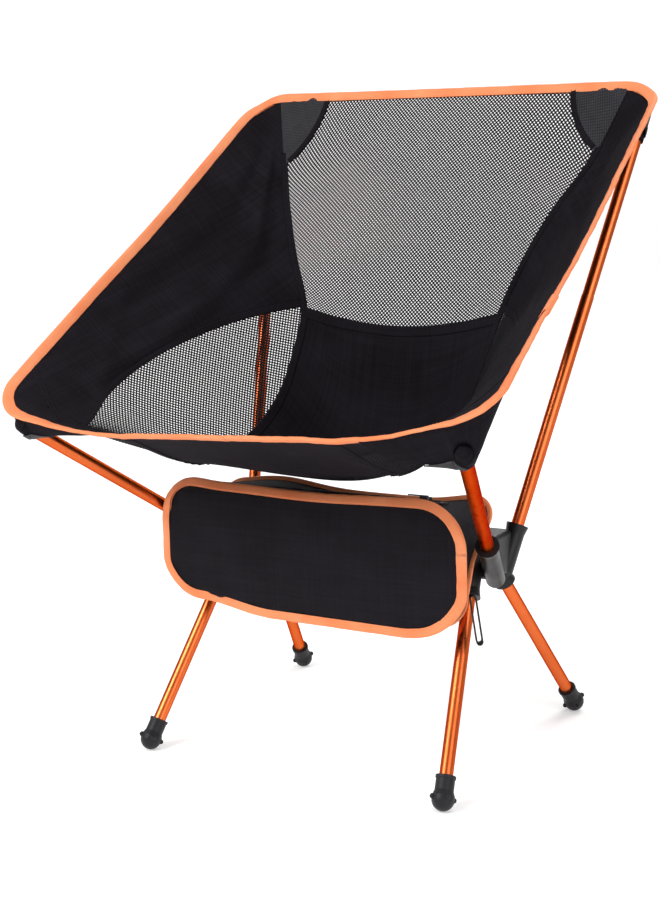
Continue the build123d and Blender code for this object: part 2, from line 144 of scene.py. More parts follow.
# Cloth between the rim and a pole. FROM is where it leaves the rim: beyond X and before Y, or beyond X and
# above Z. Then how far down the pole its mouth is, its radius there and how far up the pole it is kept
# outside it. BAG is how much it hangs down.
GUSSET_FROM = (135 * MM, -202 * MM)
GUSSET_MOUTH = {"left": 3 * MM, "right": 6 * MM}
GUSSET_BAG = {"left": 12 * MM, "right": 3 * MM}
GUSSET_R, GUSSET_ABOVE = 8.7 * MM, 16 * MM
HOOD_FROM = (196 * MM, 640 * MM)
HOOD_MOUTH, HOOD_R, HOOD_ABOVE = 20 * MM, 8.4 * MM, 14 * MM

# ---------------------------------------------------------------- camera and light

CAMERA_AT = Vector((0.72325, -1.23803, 0.53289))
CAMERA_AZIMUTH, CAMERA_ELEVATION, CAMERA_ROLL = (math.radians(a) for a in (31.18, 9.05, -1.41))
CAMERA_LENS = 56.5


def unit(vectors):
    """Vectors scaled to length one."""
    return vectors / np.maximum(np.linalg.norm(vectors, axis=-1, keepdims=True), 1e-12)


def lengths(points):
    """Distance along a line of points, from its first point."""
    steps = np.linalg.norm(np.diff(points, axis=0), axis=1)
    return np.concatenate([[0], np.cumsum(steps)])


def resample(points, step, *others):
    """A line of points and the values that go with them, at even steps along it."""
    along = lengths(points)
    count = max(2, int(round(along[-1] / step)) + 1)
    wanted = np.linspace(0, along[-1], count)
    return [
        np.stack([np.interp(wanted, along, column) for column in values.T], axis=1)
        for values in (points, *others)
    ]


def layout(across, along):
    """Flat places of a grid of points, from its distances across and along."""
    return np.stack(np.meshgrid(across, along), axis=-1).reshape(-1, 2)


def mirrored(points):
    """The same points on the other side of the chair."""
    return points * np.array([-1.0, 1.0, 1.0])


def ease(value):
    """A smooth step from 0 to 1."""
    t = np.clip(value, 0, 1)
    return t * t * (3 - 2 * t)


def bump(value, middle, width):
    """A smooth bump of height 1."""
    return np.exp(-(((value - middle) / width) ** 2))


def settled(points):
    """Where the seat's cloth lies once it hangs on the poles: askew, and slack low in the left side."""
    points = np.asarray(points, float)
    x, y, z = points[..., 0], points[..., 1], points[..., 2]
    slope, change, front = HANG_TILT
    rise = x * (slope - change * (y - front)) + HANG_LIFT[0] * np.clip(y / HANG_LIFT[1], 0, 1)
    across, along = BELLY_RIM
    rise = rise + (FRONT_LIFT - FRONT_BELLY * bump(np.abs(x), *across)) * bump(y, *along)
    across, along = BELLY_DEEP
    rise = rise - FRONT_BELLY * bump(np.abs(x), *across) * bump(y, *along)
    before, after, start, run = HANG_SLIDE
    slide = before + (after - before) * ease((y - start) / run)
    spread, start, run = HANG_SPREAD
    slide = slide + spread * np.sign(x) * (1 - ease((y - start) / run))
    size, along, up = SLACK
    slack = size * bump(y, *along) * bump(z, *up) * ease((x - SLACK_FROM) / SLACK_FADE)
    moved_x = x + slide * (x / HANG_REACH) ** 2 - SLACK_IN * slack
    return np.stack([moved_x, y, z + rise + SLACK_UP * slack], axis=-1)


def ripple(points, size, height, seed):
    """Smooth uneven heights over points, from noise with lumps of a given size."""
    shift = Vector((seed * 7.31, seed * 3.17, seed * 5.53))
    return height * np.array([noise.noise(Vector(p) / size + shift) for p in points])


# ---------------------------------------------------------------- materials


class Finish:
    """A procedural material; an input of a node is a number, a colour or a socket of another node."""

    def __init__(self, name):
        self.material = bpy.data.materials.new(name)
        self.material.use_nodes = True
        self.tree = self.material.node_tree
        self.shader = self.tree.nodes["Principled BSDF"]

    def plug(self, socket, value):
        """Give a socket a number, a colour, or a link from another node."""
        if isinstance(value, bpy.types.NodeSocket):
            self.tree.links.new(value, socket)
        elif isinstance(value, tuple) and len(value) == 3 and socket.type == "RGBA":
            socket.default_value = (*value, 1)
        else:
            socket.default_value = value

    def node(self, kind, output=0, settings=None, **inputs):
        """Add a node, set it up and return one of its outputs."""
        made = self.tree.nodes.new("ShaderNode" + kind)
        for key, value in (settings or {}).items():
            setattr(made, key, value)
        for key, value in inputs.items():
            name = key.replace("_", " ")
            socket = made.inputs[int(name[1:])] if name[1:].isdigit() else made.inputs[name]
            self.plug(socket, value)
        return made.outputs[output]

    def math(self, operation, first, second=0.0):
        """A sum, product or other function of two numbers."""
        return self.node("Math", settings={"operation": operation}, i0=first, i1=second)

    def mapped(self, value, low, high, to_low, to_high):
        """A number moved from one range to another."""
        return self.node(
            "MapRange", Value=value, From_Min=low, From_Max=high, To_Min=to_low, To_Max=to_high
        )

    def colours(self, amount, first, second):
        """A blend of two colours."""
        made = self.tree.nodes.new("ShaderNodeMix")
        made.data_type = "RGBA"
        self.plug(made.inputs["Factor"], amount)
        self.plug(made.inputs[6], first)
        self.plug(made.inputs[7], second)
        return made.outputs[2]

    def noise(self, scale, detail=3.0, roughness=0.5, vector=None):
        """Noise in the object's own space."""
        place = vector or self.node("TexCoord", output=3)
        return self.node("TexNoise", Vector=place, Scale=scale, Detail=detail, Roughness=roughness)

    def surface(self, **inputs):
        """Set inputs of the shader itself."""
        for key, value in inputs.items():
            self.plug(self.shader.inputs[key.replace("_", " ")], value)
        return self.material

    def bump(self, height, distance, strength=1.0, under=None):
        """Small relief, given in metres."""
        inputs = {"Height": height, "Distance": distance, "Strength": strength}
        if under is not None:
            inputs["Normal"] = under
        return self.node("Bump", **inputs)


def woven(
    name, colour, light, thread, sheen=0.05, roughness=0.8, relief=0.12, diagonal=0.0, shine=0.14
):
    """Plain-woven cloth: over-and-under threads, faint streaks along them, and uneven dye."""
    finish = Finish(name)
    place = finish.node("UVMap")
    if diagonal:
        place = finish.node("VectorRotate", Vector=place, Angle=diagonal)
    split = finish.node("SeparateXYZ", Vector=place).node
    turn = math.pi / thread
    warp = finish.math("SINE", finish.math("MULTIPLY", split.outputs[0], turn))
    weft = finish.math("SINE", finish.math("MULTIPLY", split.outputs[1], turn))
    weave = finish.math("MULTIPLY", warp, weft)
    drawn = [
        finish.noise(1.0, 2.0, vector=finish.node("Mapping", Vector=place, Scale=scale))
        for scale in ((1 / (3 * thread), 6.0, 1.0), (6.0, 1 / (3 * thread), 1.0))
    ]
    streaks = finish.mapped(finish.math("ADD", *drawn), 0.7, 1.3, 0.0, 0.45)
    tone = finish.math("ADD", streaks, finish.mapped(finish.noise(16.0, 4.0), 0.3, 0.7, 0.0, 0.4))
    tone = finish.math("ADD", tone, finish.mapped(weave, -1.0, 1.0, -0.08, 0.15))
    soft = finish.bump(finish.noise(55.0, 3.0), 0.0012, 0.35)
    fine = finish.bump(weave, relief * MM, 0.9, under=soft)
    return finish.surface(
        Base_Color=finish.colours(tone, colour, light),
        Roughness=finish.mapped(weave, -1.0, 1.0, roughness + 0.08, roughness - 0.06),
        Sheen_Weight=sheen,
        Sheen_Roughness=0.45,
        Sheen_Tint=light,
        Specular_IOR_Level=shine,
        Normal=fine,
    )


def ribbed(name, colour, light, rib, roughness=0.6, sheen=0.25, shine=0.3):
    """Narrow woven tape: ribs across its length, slightly faded on the high threads."""
    finish = Finish(name)
    apart = finish.node("SeparateXYZ", Vector=finish.node("UVMap")).node
    across = finish.math("SINE", finish.math("MULTIPLY", apart.outputs[1], 2 * math.pi / rib))
    lengthwise = finish.math("SINE", finish.math("MULTIPLY", apart.outputs[0], math.pi / rib))
    weave = finish.math("ADD", across, finish.math("MULTIPLY", lengthwise, 0.35))
    worn = finish.noise(140.0, 3.0)
    faded = finish.mapped(finish.noise(24.0, 4.0), 0.3, 0.7, 0.0, 0.55)
    tone = finish.math("ADD", faded, finish.mapped(weave, -1.3, 1.3, 0.0, 0.3))
    soft = finish.bump(worn, 0.0006, 0.4)
    return finish.surface(
        Base_Color=finish.colours(tone, colour, light),
        Roughness=finish.mapped(worn, 0.3, 0.7, roughness - 0.06, roughness + 0.1),
        Sheen_Weight=sheen,
        Sheen_Tint=light,
        Specular_IOR_Level=shine,
        Normal=finish.bump(weave, 0.00012, 0.8, under=soft),
    )


def moulded(name, colour, light, roughness, grain=900.0, relief=0.00006):
    """Moulded plastic or rubber: fine grain, soft flow marks and edges rubbed lighter."""
    finish = Finish(name)
    fine = finish.noise(grain, 2.0)
    flow = finish.noise(28.0, 4.0)
    edge = finish.node("NewGeometry", output=7)
    rubbed = finish.mapped(edge, 0.5, 0.62, 0.0, 0.25)
    tone = finish.math("ADD", finish.mapped(flow, 0.35, 0.65, 0.0, 0.3), rubbed)
    return finish.surface(
        Base_Color=finish.colours(tone, colour, light),
        Roughness=finish.mapped(flow, 0.3, 0.7, roughness - 0.07, roughness + 0.09),
        Specular_IOR_Level=0.3,
        Normal=finish.bump(fine, relief, 0.6),
    )


def metal(name, colour, deep, edge, roughness):
    """Anodised or plated metal: faint drawn lines, uneven depth of colour and another tint at its edges."""
    finish = Finish(name)
    place = finish.node("Mapping", Vector=finish.node("TexCoord", output=3), Scale=(260.0, 260.0, 9.0))
    drawn = finish.noise(1.0, 2.0, vector=place)
    depth = finish.mapped(finish.noise(9.0, 3.0), 0.3, 0.7, 0.0, 0.6)
    return finish.surface(
        Base_Color=finish.colours(depth, colour, deep),
        Metallic=1.0,
        Specular_Tint=edge,
        Roughness=finish.mapped(drawn, 0.3, 0.7, roughness - 0.04, roughness + 0.06),
        Normal=finish.bump(drawn, 0.00002, 0.2),
    )


BLACK, GREY = (0.0040, 0.0031, 0.0046), (0.0160, 0.0130, 0.0182)
BAG_BLACK, BAG_GREY = (0.0032, 0.0026, 0.0040), (0.0115, 0.0095, 0.0140)
PATCH_BLACK, PATCH_GREY = (0.0032, 0.0032, 0.0048), (0.019, 0.019, 0.026)
MESH_BLACK, MESH_GREY = (0.004, 0.0034, 0.005), (0.014, 0.012, 0.016)
TAPE_BLACK = (0.006, 0.0055, 0.007)
TUBE_ORANGE, TUBE_DEEP, TUBE_EDGE = (0.74, 0.155, 0.045), (0.55, 0.09, 0.02), (0.30, 0.05, 0.015)
STEEL_EDGE = (0.5, 0.5, 0.5)
FINISHES = (
    (woven, "seat_cloth", BLACK, GREY, 0.85 * MM, 0.03, 0.8, 0.12, 0.0, 0.07),
    (woven, "bag_cloth", BAG_BLACK, BAG_GREY, 0.95 * MM),
    (woven, "patch_cloth", PATCH_BLACK, PATCH_GREY, 1.7 * MM, 0.05, 0.55, 0.3, 0.6, 0.3),
    (ribbed, "mesh_cloth", MESH_BLACK, MESH_GREY, 0.8 * MM, 0.7, 0.05, 0.15),
    (ribbed, "edge_tape", (0.86, 0.215, 0.072), (0.98, 0.37, 0.17), 0.9 * MM),
    (ribbed, "webbing", TAPE_BLACK, (0.028, 0.025, 0.030), 1.2 * MM, 0.45, 0.05, 0.4),
    (ribbed, "thread_black", TAPE_BLACK, (0.024, 0.021, 0.026), 0.4 * MM, 0.5, 0.05, 0.2),
    (ribbed, "thread_orange", (0.84, 0.20, 0.065), (0.98, 0.40, 0.20), 0.4 * MM, 0.5, 0.1),
    (moulded, "hub_plastic", (0.0035, 0.0033, 0.004), (0.018, 0.017, 0.020), 0.38),
    (moulded, "foot_rubber", (0.007, 0.007, 0.009), (0.024, 0.024, 0.029), 0.5, 500.0, 0.00015),
    (moulded, "zip_plastic", (0.006, 0.006, 0.007), (0.03, 0.03, 0.033), 0.35),
    (ribbed, "shock_cord", (0.30, 0.30, 0.31), (0.65, 0.65, 0.66), 0.7 * MM, 0.75, 0.2),
    (metal, "anodised_tube", TUBE_ORANGE, TUBE_DEEP, TUBE_EDGE, 0.30),
    (metal, "ferrule_metal", (0.62, 0.63, 0.64), (0.42, 0.43, 0.44), STEEL_EDGE, 0.30),
    (metal, "rivet_steel", (0.42, 0.42, 0.43), (0.24, 0.24, 0.25), STEEL_EDGE, 0.28),
    (metal, "zip_metal", (0.10, 0.10, 0.105), (0.05, 0.05, 0.055), STEEL_EDGE, 0.33),
)
MATERIALS = {name: make(name, *values) for make, name, *values in FINISHES}
ON_SEAT = ("seat_", "side_cloth_", "mesh_", "window_hem_", "corner_", "back_seam", "binding_")


# ---------------------------------------------------------------- making pieces


def grid_faces(rows, columns, wrap=False, closed=False):
    """Quads between rows of points; wrap joins the last column to the first, and closed the last row."""
    faces = []
    for row in range(rows if closed else rows - 1):
        after = (row + 1) % rows
        for column in range(columns if wrap else columns - 1):
            beside = (column + 1) % columns
            ring = ((row, column), (row, beside), (after, beside), (after, column))
            faces.append(tuple(r * columns + c for r, c in ring))
    return faces


def piece(name, points, faces, finish, uv=None, body="frame", flat=False):
    """Make a mesh piece that rides on a body, with a flat layout of its cloth in metres."""
    points = settled(points) if name.startswith(ON_SEAT) else np.asarray(points, float)
    mesh = bpy.data.meshes.new(name)
    mesh.from_pydata(points.tolist(), [], faces)
    if uv is not None:
        layer = mesh.uv_layers.new(name="Cloth")
        corners = np.zeros(len(mesh.loops), np.int32)
        mesh.loops.foreach_get("vertex_index", corners)
        layer.data.foreach_set("uv", np.asarray(uv, np.float32)[corners].ravel())
    mesh.materials.append(MATERIALS[finish])
    made = bpy.data.objects.new(name, mesh)
    bpy.context.collection.objects.link(made)
    if not flat:
        mesh.polygons.foreach_set("use_smooth", [True] * len(mesh.polygons))
    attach(made, body)
    return made


def thicken(made, thickness):
    """Give a sheet its thickness, half on each side."""
    solid = made.modifiers.new("Thickness", "SOLIDIFY")
    solid.thickness = thickness
    solid.offset = 0.0
    return made


def sided(points, faces, sign):
    """Points and faces made for the left side, moved to the side with this sign."""
    if sign < 0:
        return mirrored(points), [face[::-1] for face in faces]
    return points, faces


def loft(name, rings, finish, closed=False, body="frame"):
    """A solid through rings of points; its ends are capped, or joined when it is closed."""
    rows, columns = rings.shape[:2]
    points = rings.reshape(-1, 3)
    faces = grid_faces(rows, columns, wrap=True, closed=closed)
    if not closed:
        faces.append(tuple(reversed(range(columns))))
        faces.append(tuple((rows - 1) * columns + i for i in range(columns)))
    uv = layout(lengths(rings[rows // 2]), lengths(rings.mean(axis=1)))
    return piece(name, points, faces, finish, uv, body)


def outward(made):
    """Turn a closed mesh's faces to point out of it."""
    work = bmesh.new()
    work.from_mesh(made.data)
    bmesh.ops.recalc_face_normals(work, faces=work.faces)
    work.to_mesh(made.data)
    work.free()
    return made


def stitches(name, lines, finish, radius=STITCH[2]):
    """Rows of thread stitches; a line is its points and the directions that stand up from the cloth."""
    pitch, length = STITCH[:2]
    shape = np.array([(-1, 0, 0), (0, 1, 0), (0, 0, 1), (0, -1, 0), (0, 0, -1), (1, 0, 0)], float)
    tris = [(0, 2, 1), (0, 3, 2), (0, 4, 3), (0, 1, 4), (5, 1, 2), (5, 2, 3), (5, 3, 4), (5, 4, 1)]
    points, faces = [], []
    for line, up in lines:
        spots, lifts = resample(line, pitch, up)
        if len(spots) < 3:
            continue
        ahead = unit(np.gradient(spots, axis=0))
        lifts = unit(lifts)
        side = unit(np.cross(lifts, ahead))
        for spot, a, b, c in zip(spots, ahead, side, lifts):
            start = len(points)
            local = shape * (length / 2, radius, radius)
            points.extend(spot + local @ np.stack([a, b, c]))
            faces.extend(tuple(start + i for i in tri) for tri in tris)
    uv = np.asarray(points)[:, :2]
    return piece(name, points, faces, finish, uv, flat=True)


# ---------------------------------------------------------------- the seat's surface

PADDED = np.vstack([2 * RIBS[0] - RIBS[1], RIBS, 2 * RIBS[-1] - RIBS[-2]])


def rib(v):
    """A rib's eight numbers at any place along the seat, on a smooth curve through the table."""
    v = np.asarray(v, float)
    i = np.clip(np.floor(v).astype(int), 0, LAST - 1)
    t = (v - i)[..., None]
    a, b, c, d = (PADDED[i + k] for k in range(4))
    return 0.5 * (2 * b + (c - a) * t + (2 * a - 5 * b + 4 * c - d) * t**2 + (3 * b - a - 3 * c + d) * t**3)


def centre_base(u, v):
    """Centre strip: u runs from -1 at the right seam to 1 at the left one."""
    r = rib(v)
    pull = u * u
    y = r[..., 0] + (r[..., 3] - r[..., 0]) * pull
    z = r[..., 1] + (r[..., 4] - r[..., 1]) * pull
    return np.stack([r[..., 2] * u, y, z], axis=-1)


def side_base(s, v):
    """Left side strip: s runs from 0 at the seam to 1 at the outer edge."""
    r = rib(v)
    return r[..., 2:5] + (r[..., 5:8] - r[..., 2:5]) * np.asarray(s, float)[..., None]


def facing(base, a, b):
    """Directions that stand up from a strip, towards the sitter."""
    step = 1e-3
    da = base(a + step, b) - base(a - step, b)
    db = base(a, b + step) - base(a, b - step)
    return unit(np.cross(da, db))


# Soft folds of the side strip: start (s, v), end (s, v), half width, height. A fold is laid out with the
# strip's usual width across and the usual distance between ribs along.
FOLD_SCALE = np.array([190 * MM, 45 * MM])
FOLDS = (
    ((0.30, 8.8), (0.70, 1.6), 8 * MM, 4.0 * MM),
    ((0.50, 8.6), (0.86, 2.6), 12 * MM, -3.6 * MM),
    ((0.15, 7.8), (0.50, 4.6), 10 * MM, -2.6 * MM),
    ((0.62, 1.5), (0.92, 3.4), 7 * MM, 2.2 * MM),
)


def relief(s, v):
    """Height of the side strip's folds."""
    total = np.zeros(np.broadcast(s, v).shape)
    for (s0, v0), (s1, v1), width, height in FOLDS:
        across, along = FOLD_SCALE[0] * (s - s0), FOLD_SCALE[1] * (v - v0)
        run = FOLD_SCALE * (s1 - s0, v1 - v0)
        size = np.linalg.norm(run)
        run = run / size
        near = (across * run[0] + along * run[1]) / size
        off = across * run[1] - along * run[0]
        fade = ease(np.minimum(near + 0.1, 1.1 - near) * 4)
        total = total + height * bump(off, 0, width) * fade
    edge = np.clip(np.minimum(s, 1 - s) * 6, 0, 1)
    return total * edge


def side_point(s, v):
    """Left side strip with its folds."""
    s, v = np.broadcast_arrays(np.asarray(s, float), np.asarray(v, float))
    return side_base(s, v) + facing(side_base, s, v) * relief(s, v)[..., None]


def apex(p, q, from_p, from_q):
    """The third corner of a flat triangle, on the left of the line from p to q."""
    run = q - p
    size = np.linalg.norm(run)
    near = (from_p**2 - from_q**2 + size**2) / (2 * size)
    high = math.sqrt(max(from_p**2 - near**2, 0.0))
    run = run / size
    return p + run * near + np.array([-run[1], run[0]]) * high


class SideLayout:
    """The side strip laid flat, so that threads and mesh holes keep their size on it."""

    def __init__(self, count=320):
        self.v = np.linspace(-0.2, LAST + 0.2, count)
        seam = side_base(np.zeros(count), self.v)
        edge = side_base(np.ones(count), self.v)
        far = [np.linalg.norm(edge[0] - seam[0])]
        flat_seam, flat_edge = [np.zeros(2)], [np.array([far[0], 0.0])]
        for i in range(1, count):
            step = np.linalg.norm(seam[i] - seam[i - 1]), np.linalg.norm(seam[i] - edge[i - 1])
            flat_seam.append(apex(flat_seam[-1], flat_edge[-1], *step))
            step = np.linalg.norm(edge[i] - seam[i]), np.linalg.norm(edge[i] - edge[i - 1])
            flat_edge.append(apex(flat_seam[-1], flat_edge[-1], *step))
        self.seam, self.edge = np.array(flat_seam), np.array(flat_edge)

    def flat(self, s, v):
        """Where a place on the strip lies when it is flat."""
        s, v = np.broadcast_arrays(s, v)
        seam, edge = (
            np.stack([np.interp(v, self.v, line[:, k]) for k in range(2)], axis=-1)
            for line in (self.seam, self.edge)
        )
        return seam + (edge - seam) * s[..., None]

    def places(self, points):
        """The places (s, v) on the strip of points on the flat layout."""
        run = self.edge - self.seam
        off = points[:, None, :] - self.seam[None]
        over = run[None, :, 0] * off[..., 1] - run[None, :, 1] * off[..., 0]
        over = over / np.linalg.norm(run, axis=1)
        i = np.clip((over > 0).sum(axis=1) - 1, 0, len(self.v) - 2)
        rows = np.arange(len(points))
        t = over[rows, i] / np.maximum(over[rows, i] - over[rows, i + 1], 1e-9)
        seam = self.seam[i] + (self.seam[i + 1] - self.seam[i]) * t[:, None]
        edge = self.edge[i] + (self.edge[i + 1] - self.edge[i]) * t[:, None]
        s = ((points - seam) * (edge - seam)).sum(axis=1) / ((edge - seam) ** 2).sum(axis=1)
        return s, self.v[i] + t * (self.v[i + 1] - self.v[i])


SIDE = SideLayout()
CENTRE_V = np.linspace(-0.2, LAST + 0.2, 400)
CENTRE_LENGTH = lengths(centre_base(np.zeros(400), CENTRE_V))


def centre_flat(u, v):
    """Where a place on the centre strip lies when it is flat."""
    along = np.interp(v, CENTRE_V, CENTRE_LENGTH)
    return np.stack(np.broadcast_arrays(rib(v)[..., 2] * u, along), axis=-1)


def centre_places(points):
    """The places (u, v) on the centre strip of points on its flat layout."""
    v = np.interp(points[:, 1], CENTRE_LENGTH, CENTRE_V)
    return points[:, 0] / rib(v)[:, 2], v


def arc_circle(points):
    """Centre and radius of the circle through three points."""
    a, b, c = points
    rows = np.array([b - a, c - a]) * 2
    centre = np.linalg.solve(rows, np.array([(b**2 - a**2).sum(), (c**2 - a**2).sum()]))
    return centre, np.linalg.norm(a - centre)


ARC_CENTRE, ARC_R = arc_circle(WINDOW_ARC)


def window_top(v):
    """How far across the side strip the window reaches at v; 0 where there is none."""
    r = rib(v)
    start, run = r[..., 3:5], r[..., 6:8] - r[..., 3:5]
    a = (run**2).sum(axis=-1)
    b = (run * (start - ARC_CENTRE)).sum(axis=-1)
    c = ((start - ARC_CENTRE) ** 2).sum(axis=-1) - ARC_R**2
    reach = (-b + np.sqrt(np.maximum(b * b - a * c, 0))) / a
    reach = np.where(c < 0, reach, 0.0)
    first, corner = WINDOW_CORNER
    front = corner + (v - first) * WINDOW_CLIMB
    reach = np.where(v < WINDOW_CLIMB_END, np.maximum(reach, front), reach)
    return np.where(v < first, 0.0, np.clip(reach, 0, 0.9))


def corner_start(s):
    """First place along the side strip at s, with the front corner rounded off."""
    begin, size = FRONT_CORNER
    t = np.clip((s - begin) / (1 - begin), 0, 1)
    return size * (1 - np.sqrt(1 - t * t))


def corner_end(s):
    """Last place along the side strip at s, rounded off a little inside its binding."""
    size = TOP_CORNER[1] + TOP_CORNER_TUCK
    return LAST - size * (1 - np.sqrt(1 - np.clip(s, 0, 1) ** 2))


# ---------------------------------------------------------------- seat pieces

# How far a net runs on under the cloth beside it: under a patch, past a rib, and across the side strip
PATCH_LAP, RIB_LAP, SIDE_LAP = 4 * MM, 0.03, 0.02


def make_seat_panel():
    """The solid centre of the seat."""
    rows, columns = 81, 57
    u, v = np.meshgrid(np.linspace(-1, 1, columns), np.linspace(0, BACK_RIB, rows))
    points = centre_base(u, v).reshape(-1, 3)
    faces, uv = grid_faces(rows, columns), centre_flat(u, v).reshape(-1, 2)
    made = thicken(piece("seat_cloth_centre", points, faces, "seat_cloth", uv), CLOTH)
    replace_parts(made, "seat_panel")


def mesh_cells(low, high, inside, hole):
    """A diagonal net of round holes over a flat area: flat points, how deep each lies, and quads."""
    turn = math.sqrt(0.5) * MESH_PITCH
    reach = int(np.max(np.abs([low, high])) * 1.5 / MESH_PITCH) + 2
    ring = [(0, 0), (1, 0), (2, 0), (2, 1), (2, 2), (1, 2), (0, 2), (0, 1)]
    i, j = (k.ravel() for k in np.meshgrid(np.arange(-reach, reach), np.arange(-reach, reach)))

    def flat(a, b):
        return np.stack([(a - b) * turn, (a + b) * turn], axis=-1)

    middle = flat(i + 0.5, j + 0.5)
    keep = np.all((middle > low) & (middle < high), axis=1)
    i, j, middle = i[keep], j[keep], middle[keep]
    keep = inside(middle)
    i, j, middle = i[keep], j[keep], middle[keep]
    corners = np.array([np.stack([2 * i + a, 2 * j + b], axis=1) for a, b in ring])
    keys, index = np.unique(corners.reshape(-1, 2), axis=0, return_inverse=True)
    index = index.reshape(len(ring), -1)
    outer = flat(keys[:, 0] / 2, keys[:, 1] / 2)
    ways = unit(flat(corners[..., 0] / 2, corners[..., 1] / 2) - middle[None])
    holes = (middle[None] + ways * hole).reshape(-1, 2)
    points = np.vstack([outer, holes])
    sink = np.concatenate([np.zeros(len(outer)), np.full(len(holes), MESH_SINK)])
    count = len(middle)
    faces = []
    for k in range(8):
        after = (k + 1) % 8
        a, b = index[k], index[after]
        c = len(outer) + after * count + np.arange(count)
        d = len(outer) + k * count + np.arange(count)
        faces.extend(np.stack([a, b, c, d], axis=1).tolist())
    return points, sink, faces


def make_back_mesh():
    """The mesh back, open behind the corner patches."""
    top = centre_flat(np.array([1.0]), np.array([float(LAST)]))[0]

    def inside(spots):
        u, v = centre_places(spots)
        under = PATCH_R["left"] - PATCH_LAP, PATCH_R["right"] - PATCH_LAP
        clear = np.linalg.norm(spots - top, axis=1) > under[0]
        clear &= np.linalg.norm(spots - top * (-1, 1), axis=1) > under[1]
        return (np.abs(u) < 1.01) & (v > BACK_RIB - RIB_LAP) & (v < LAST - 0.02) & clear

    low, high = np.array([-0.22, 0.3]), np.array([0.22, top[1]])
    flat, sink, faces = mesh_cells(low, high, inside, MESH_HOLE_R["back"])
    u, v = centre_places(flat)
    points = centre_base(u, v) - facing(centre_base, u, v) * sink[:, None]
    made = piece("mesh_back", points, faces, "mesh_cloth", flat)
    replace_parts(made, "back_mesh")


def make_window(side, sign):
    """The mesh window low in a side panel."""

    def inside(spots):
        s, v = SIDE.places(spots)
        across = (s > -SIDE_LAP) & (s < window_top(v) + SIDE_LAP)
        return across & (v > WINDOW_CORNER[0] - RIB_LAP) & (v < BACK_RIB + 0.3)

    low, high = SIDE.seam.min(axis=0), SIDE.edge.max(axis=0)
    flat, sink, faces = mesh_cells(low, high, inside, MESH_HOLE_R["window"])
    s, v = SIDE.places(flat)
    points = side_point(s, v) - facing(side_base, s, v) * sink[:, None]
    points, faces = sided(points, faces, sign)
    made = thicken(piece(f"mesh_window_{side}", points, faces, "mesh_cloth", flat), 0.5 * MM)
    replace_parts(made, f"side_mesh_{side}")


def make_side_panel(side, sign):
    """The solid part of a side panel, cut out for its window and rounded at both corners."""
    top = BACK_RIB + 0.2
    places = [(0, 0.5, 10), (0.5, 0.6, 8), (0.6, 1.3, 22), (1.3, top, 84), (top, LAST, 50)]
    rows = np.concatenate([np.linspace(a, b, n, endpoint=False) for a, b, n in places] + [[LAST]])
    t = np.sin(np.linspace(0, math.pi / 2, 34))
    row, share = np.meshgrid(rows, t, indexing="ij")
    cut = window_top(row)
    s = cut + share * (1 - cut)
    v = corner_start(s) + row / LAST * (corner_end(s) - corner_start(s))
    cut = np.where(v < WINDOW_CORNER[0] + RIB_LAP, 0.0, window_top(v))
    s = cut + share * (1 - cut)
    points, faces = sided(side_point(s, v).reshape(-1, 3), grid_faces(len(rows), len(t)), sign)
    uv = SIDE.flat(s, v).reshape(-1, 2)
    made = thicken(piece(f"side_cloth_{side}", points, faces, "seat_cloth", uv), CLOTH)
    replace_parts(made, f"side_panel_{side}")


def make_patch(side, sign):
    """The doubled patch over a top corner of the back, with a bound edge."""
    top = centre_flat(np.array([1.0]), np.array([float(LAST)]))[0]
    below = centre_flat(np.array([1.0]), np.array([LAST - 1.0]))[0]
    down = math.atan2(below[1] - top[1], below[0] - top[0])
    rows, columns = 22, 30
    radii, angles = np.linspace(1 * MM, PATCH_R[side], rows), np.linspace(-math.pi, down, columns)
    radius, angle = np.meshgrid(radii, angles, indexing="ij")
    flat = top + np.stack([radius * np.cos(angle), radius * np.sin(angle)], axis=-1)
    u, v = centre_places(flat.reshape(-1, 2))
    points = centre_base(u, v) + facing(centre_base, u, v) * 0.5 * MM
    points, faces = sided(points, grid_faces(rows, columns), sign)
    made = piece(f"corner_cloth_{side}", points, faces, "patch_cloth", flat.reshape(-1, 2))
    thicken(made, 1.3 * MM)
    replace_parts(made, f"corner_patch_{side}")
    angles = np.linspace(-math.pi + 0.10, down - 0.09, 30)
    rim = top + np.stack([np.cos(angles), np.sin(angles)], axis=-1) * (PATCH_R[side] - 2 * MM)
    u, v = centre_places(rim)
    flat_tape(f"corner_hem_{side}", centre_base, u, v, 3.6 * MM, 1.3 * MM, sign)


# ---------------------------------------------------------------- tapes and seams

TAPE_STEP = 4 * MM
STITCH_LIFT = 0.1 * MM
TAPE_PROFILE = np.array(
    [(-1, 0.25), (-0.94, 0.8), (-0.6, 1.0), (0.6, 1.0), (0.94, 0.8), (1, 0.25)]
    + [(1, -0.25), (0.94, -0.8), (0.6, -1.0), (-0.6, -1.0), (-0.94, -0.8), (-1, -0.25)]
)


def tape_rings(centre, left, right, up, half_width, half_height):
    """Rings of a flat tape: left and right are the directions that its two halves lie in."""
    x, z = TAPE_PROFILE[:, 0] * half_width, TAPE_PROFILE[:, 1] * half_height
    across = np.where(x[None, :, None] < 0, left[:, None, :], right[:, None, :])
    return centre[:, None, :] + across * x[None, :, None] + up[:, None, :] * z[None, :, None]


def sewn_tape(name, rings, rows, sign):
    """A black tape and its stitches, made for the left side and moved to the side with this sign."""
    if sign < 0:
        rings = mirrored(rings)[:, ::-1]
        rows = [(mirrored(line), mirrored(lift)) for line, lift in rows]
    outward(loft(name, rings, "seat_cloth"))
    stitches(f"{name}_stitches", rows, "thread_black")


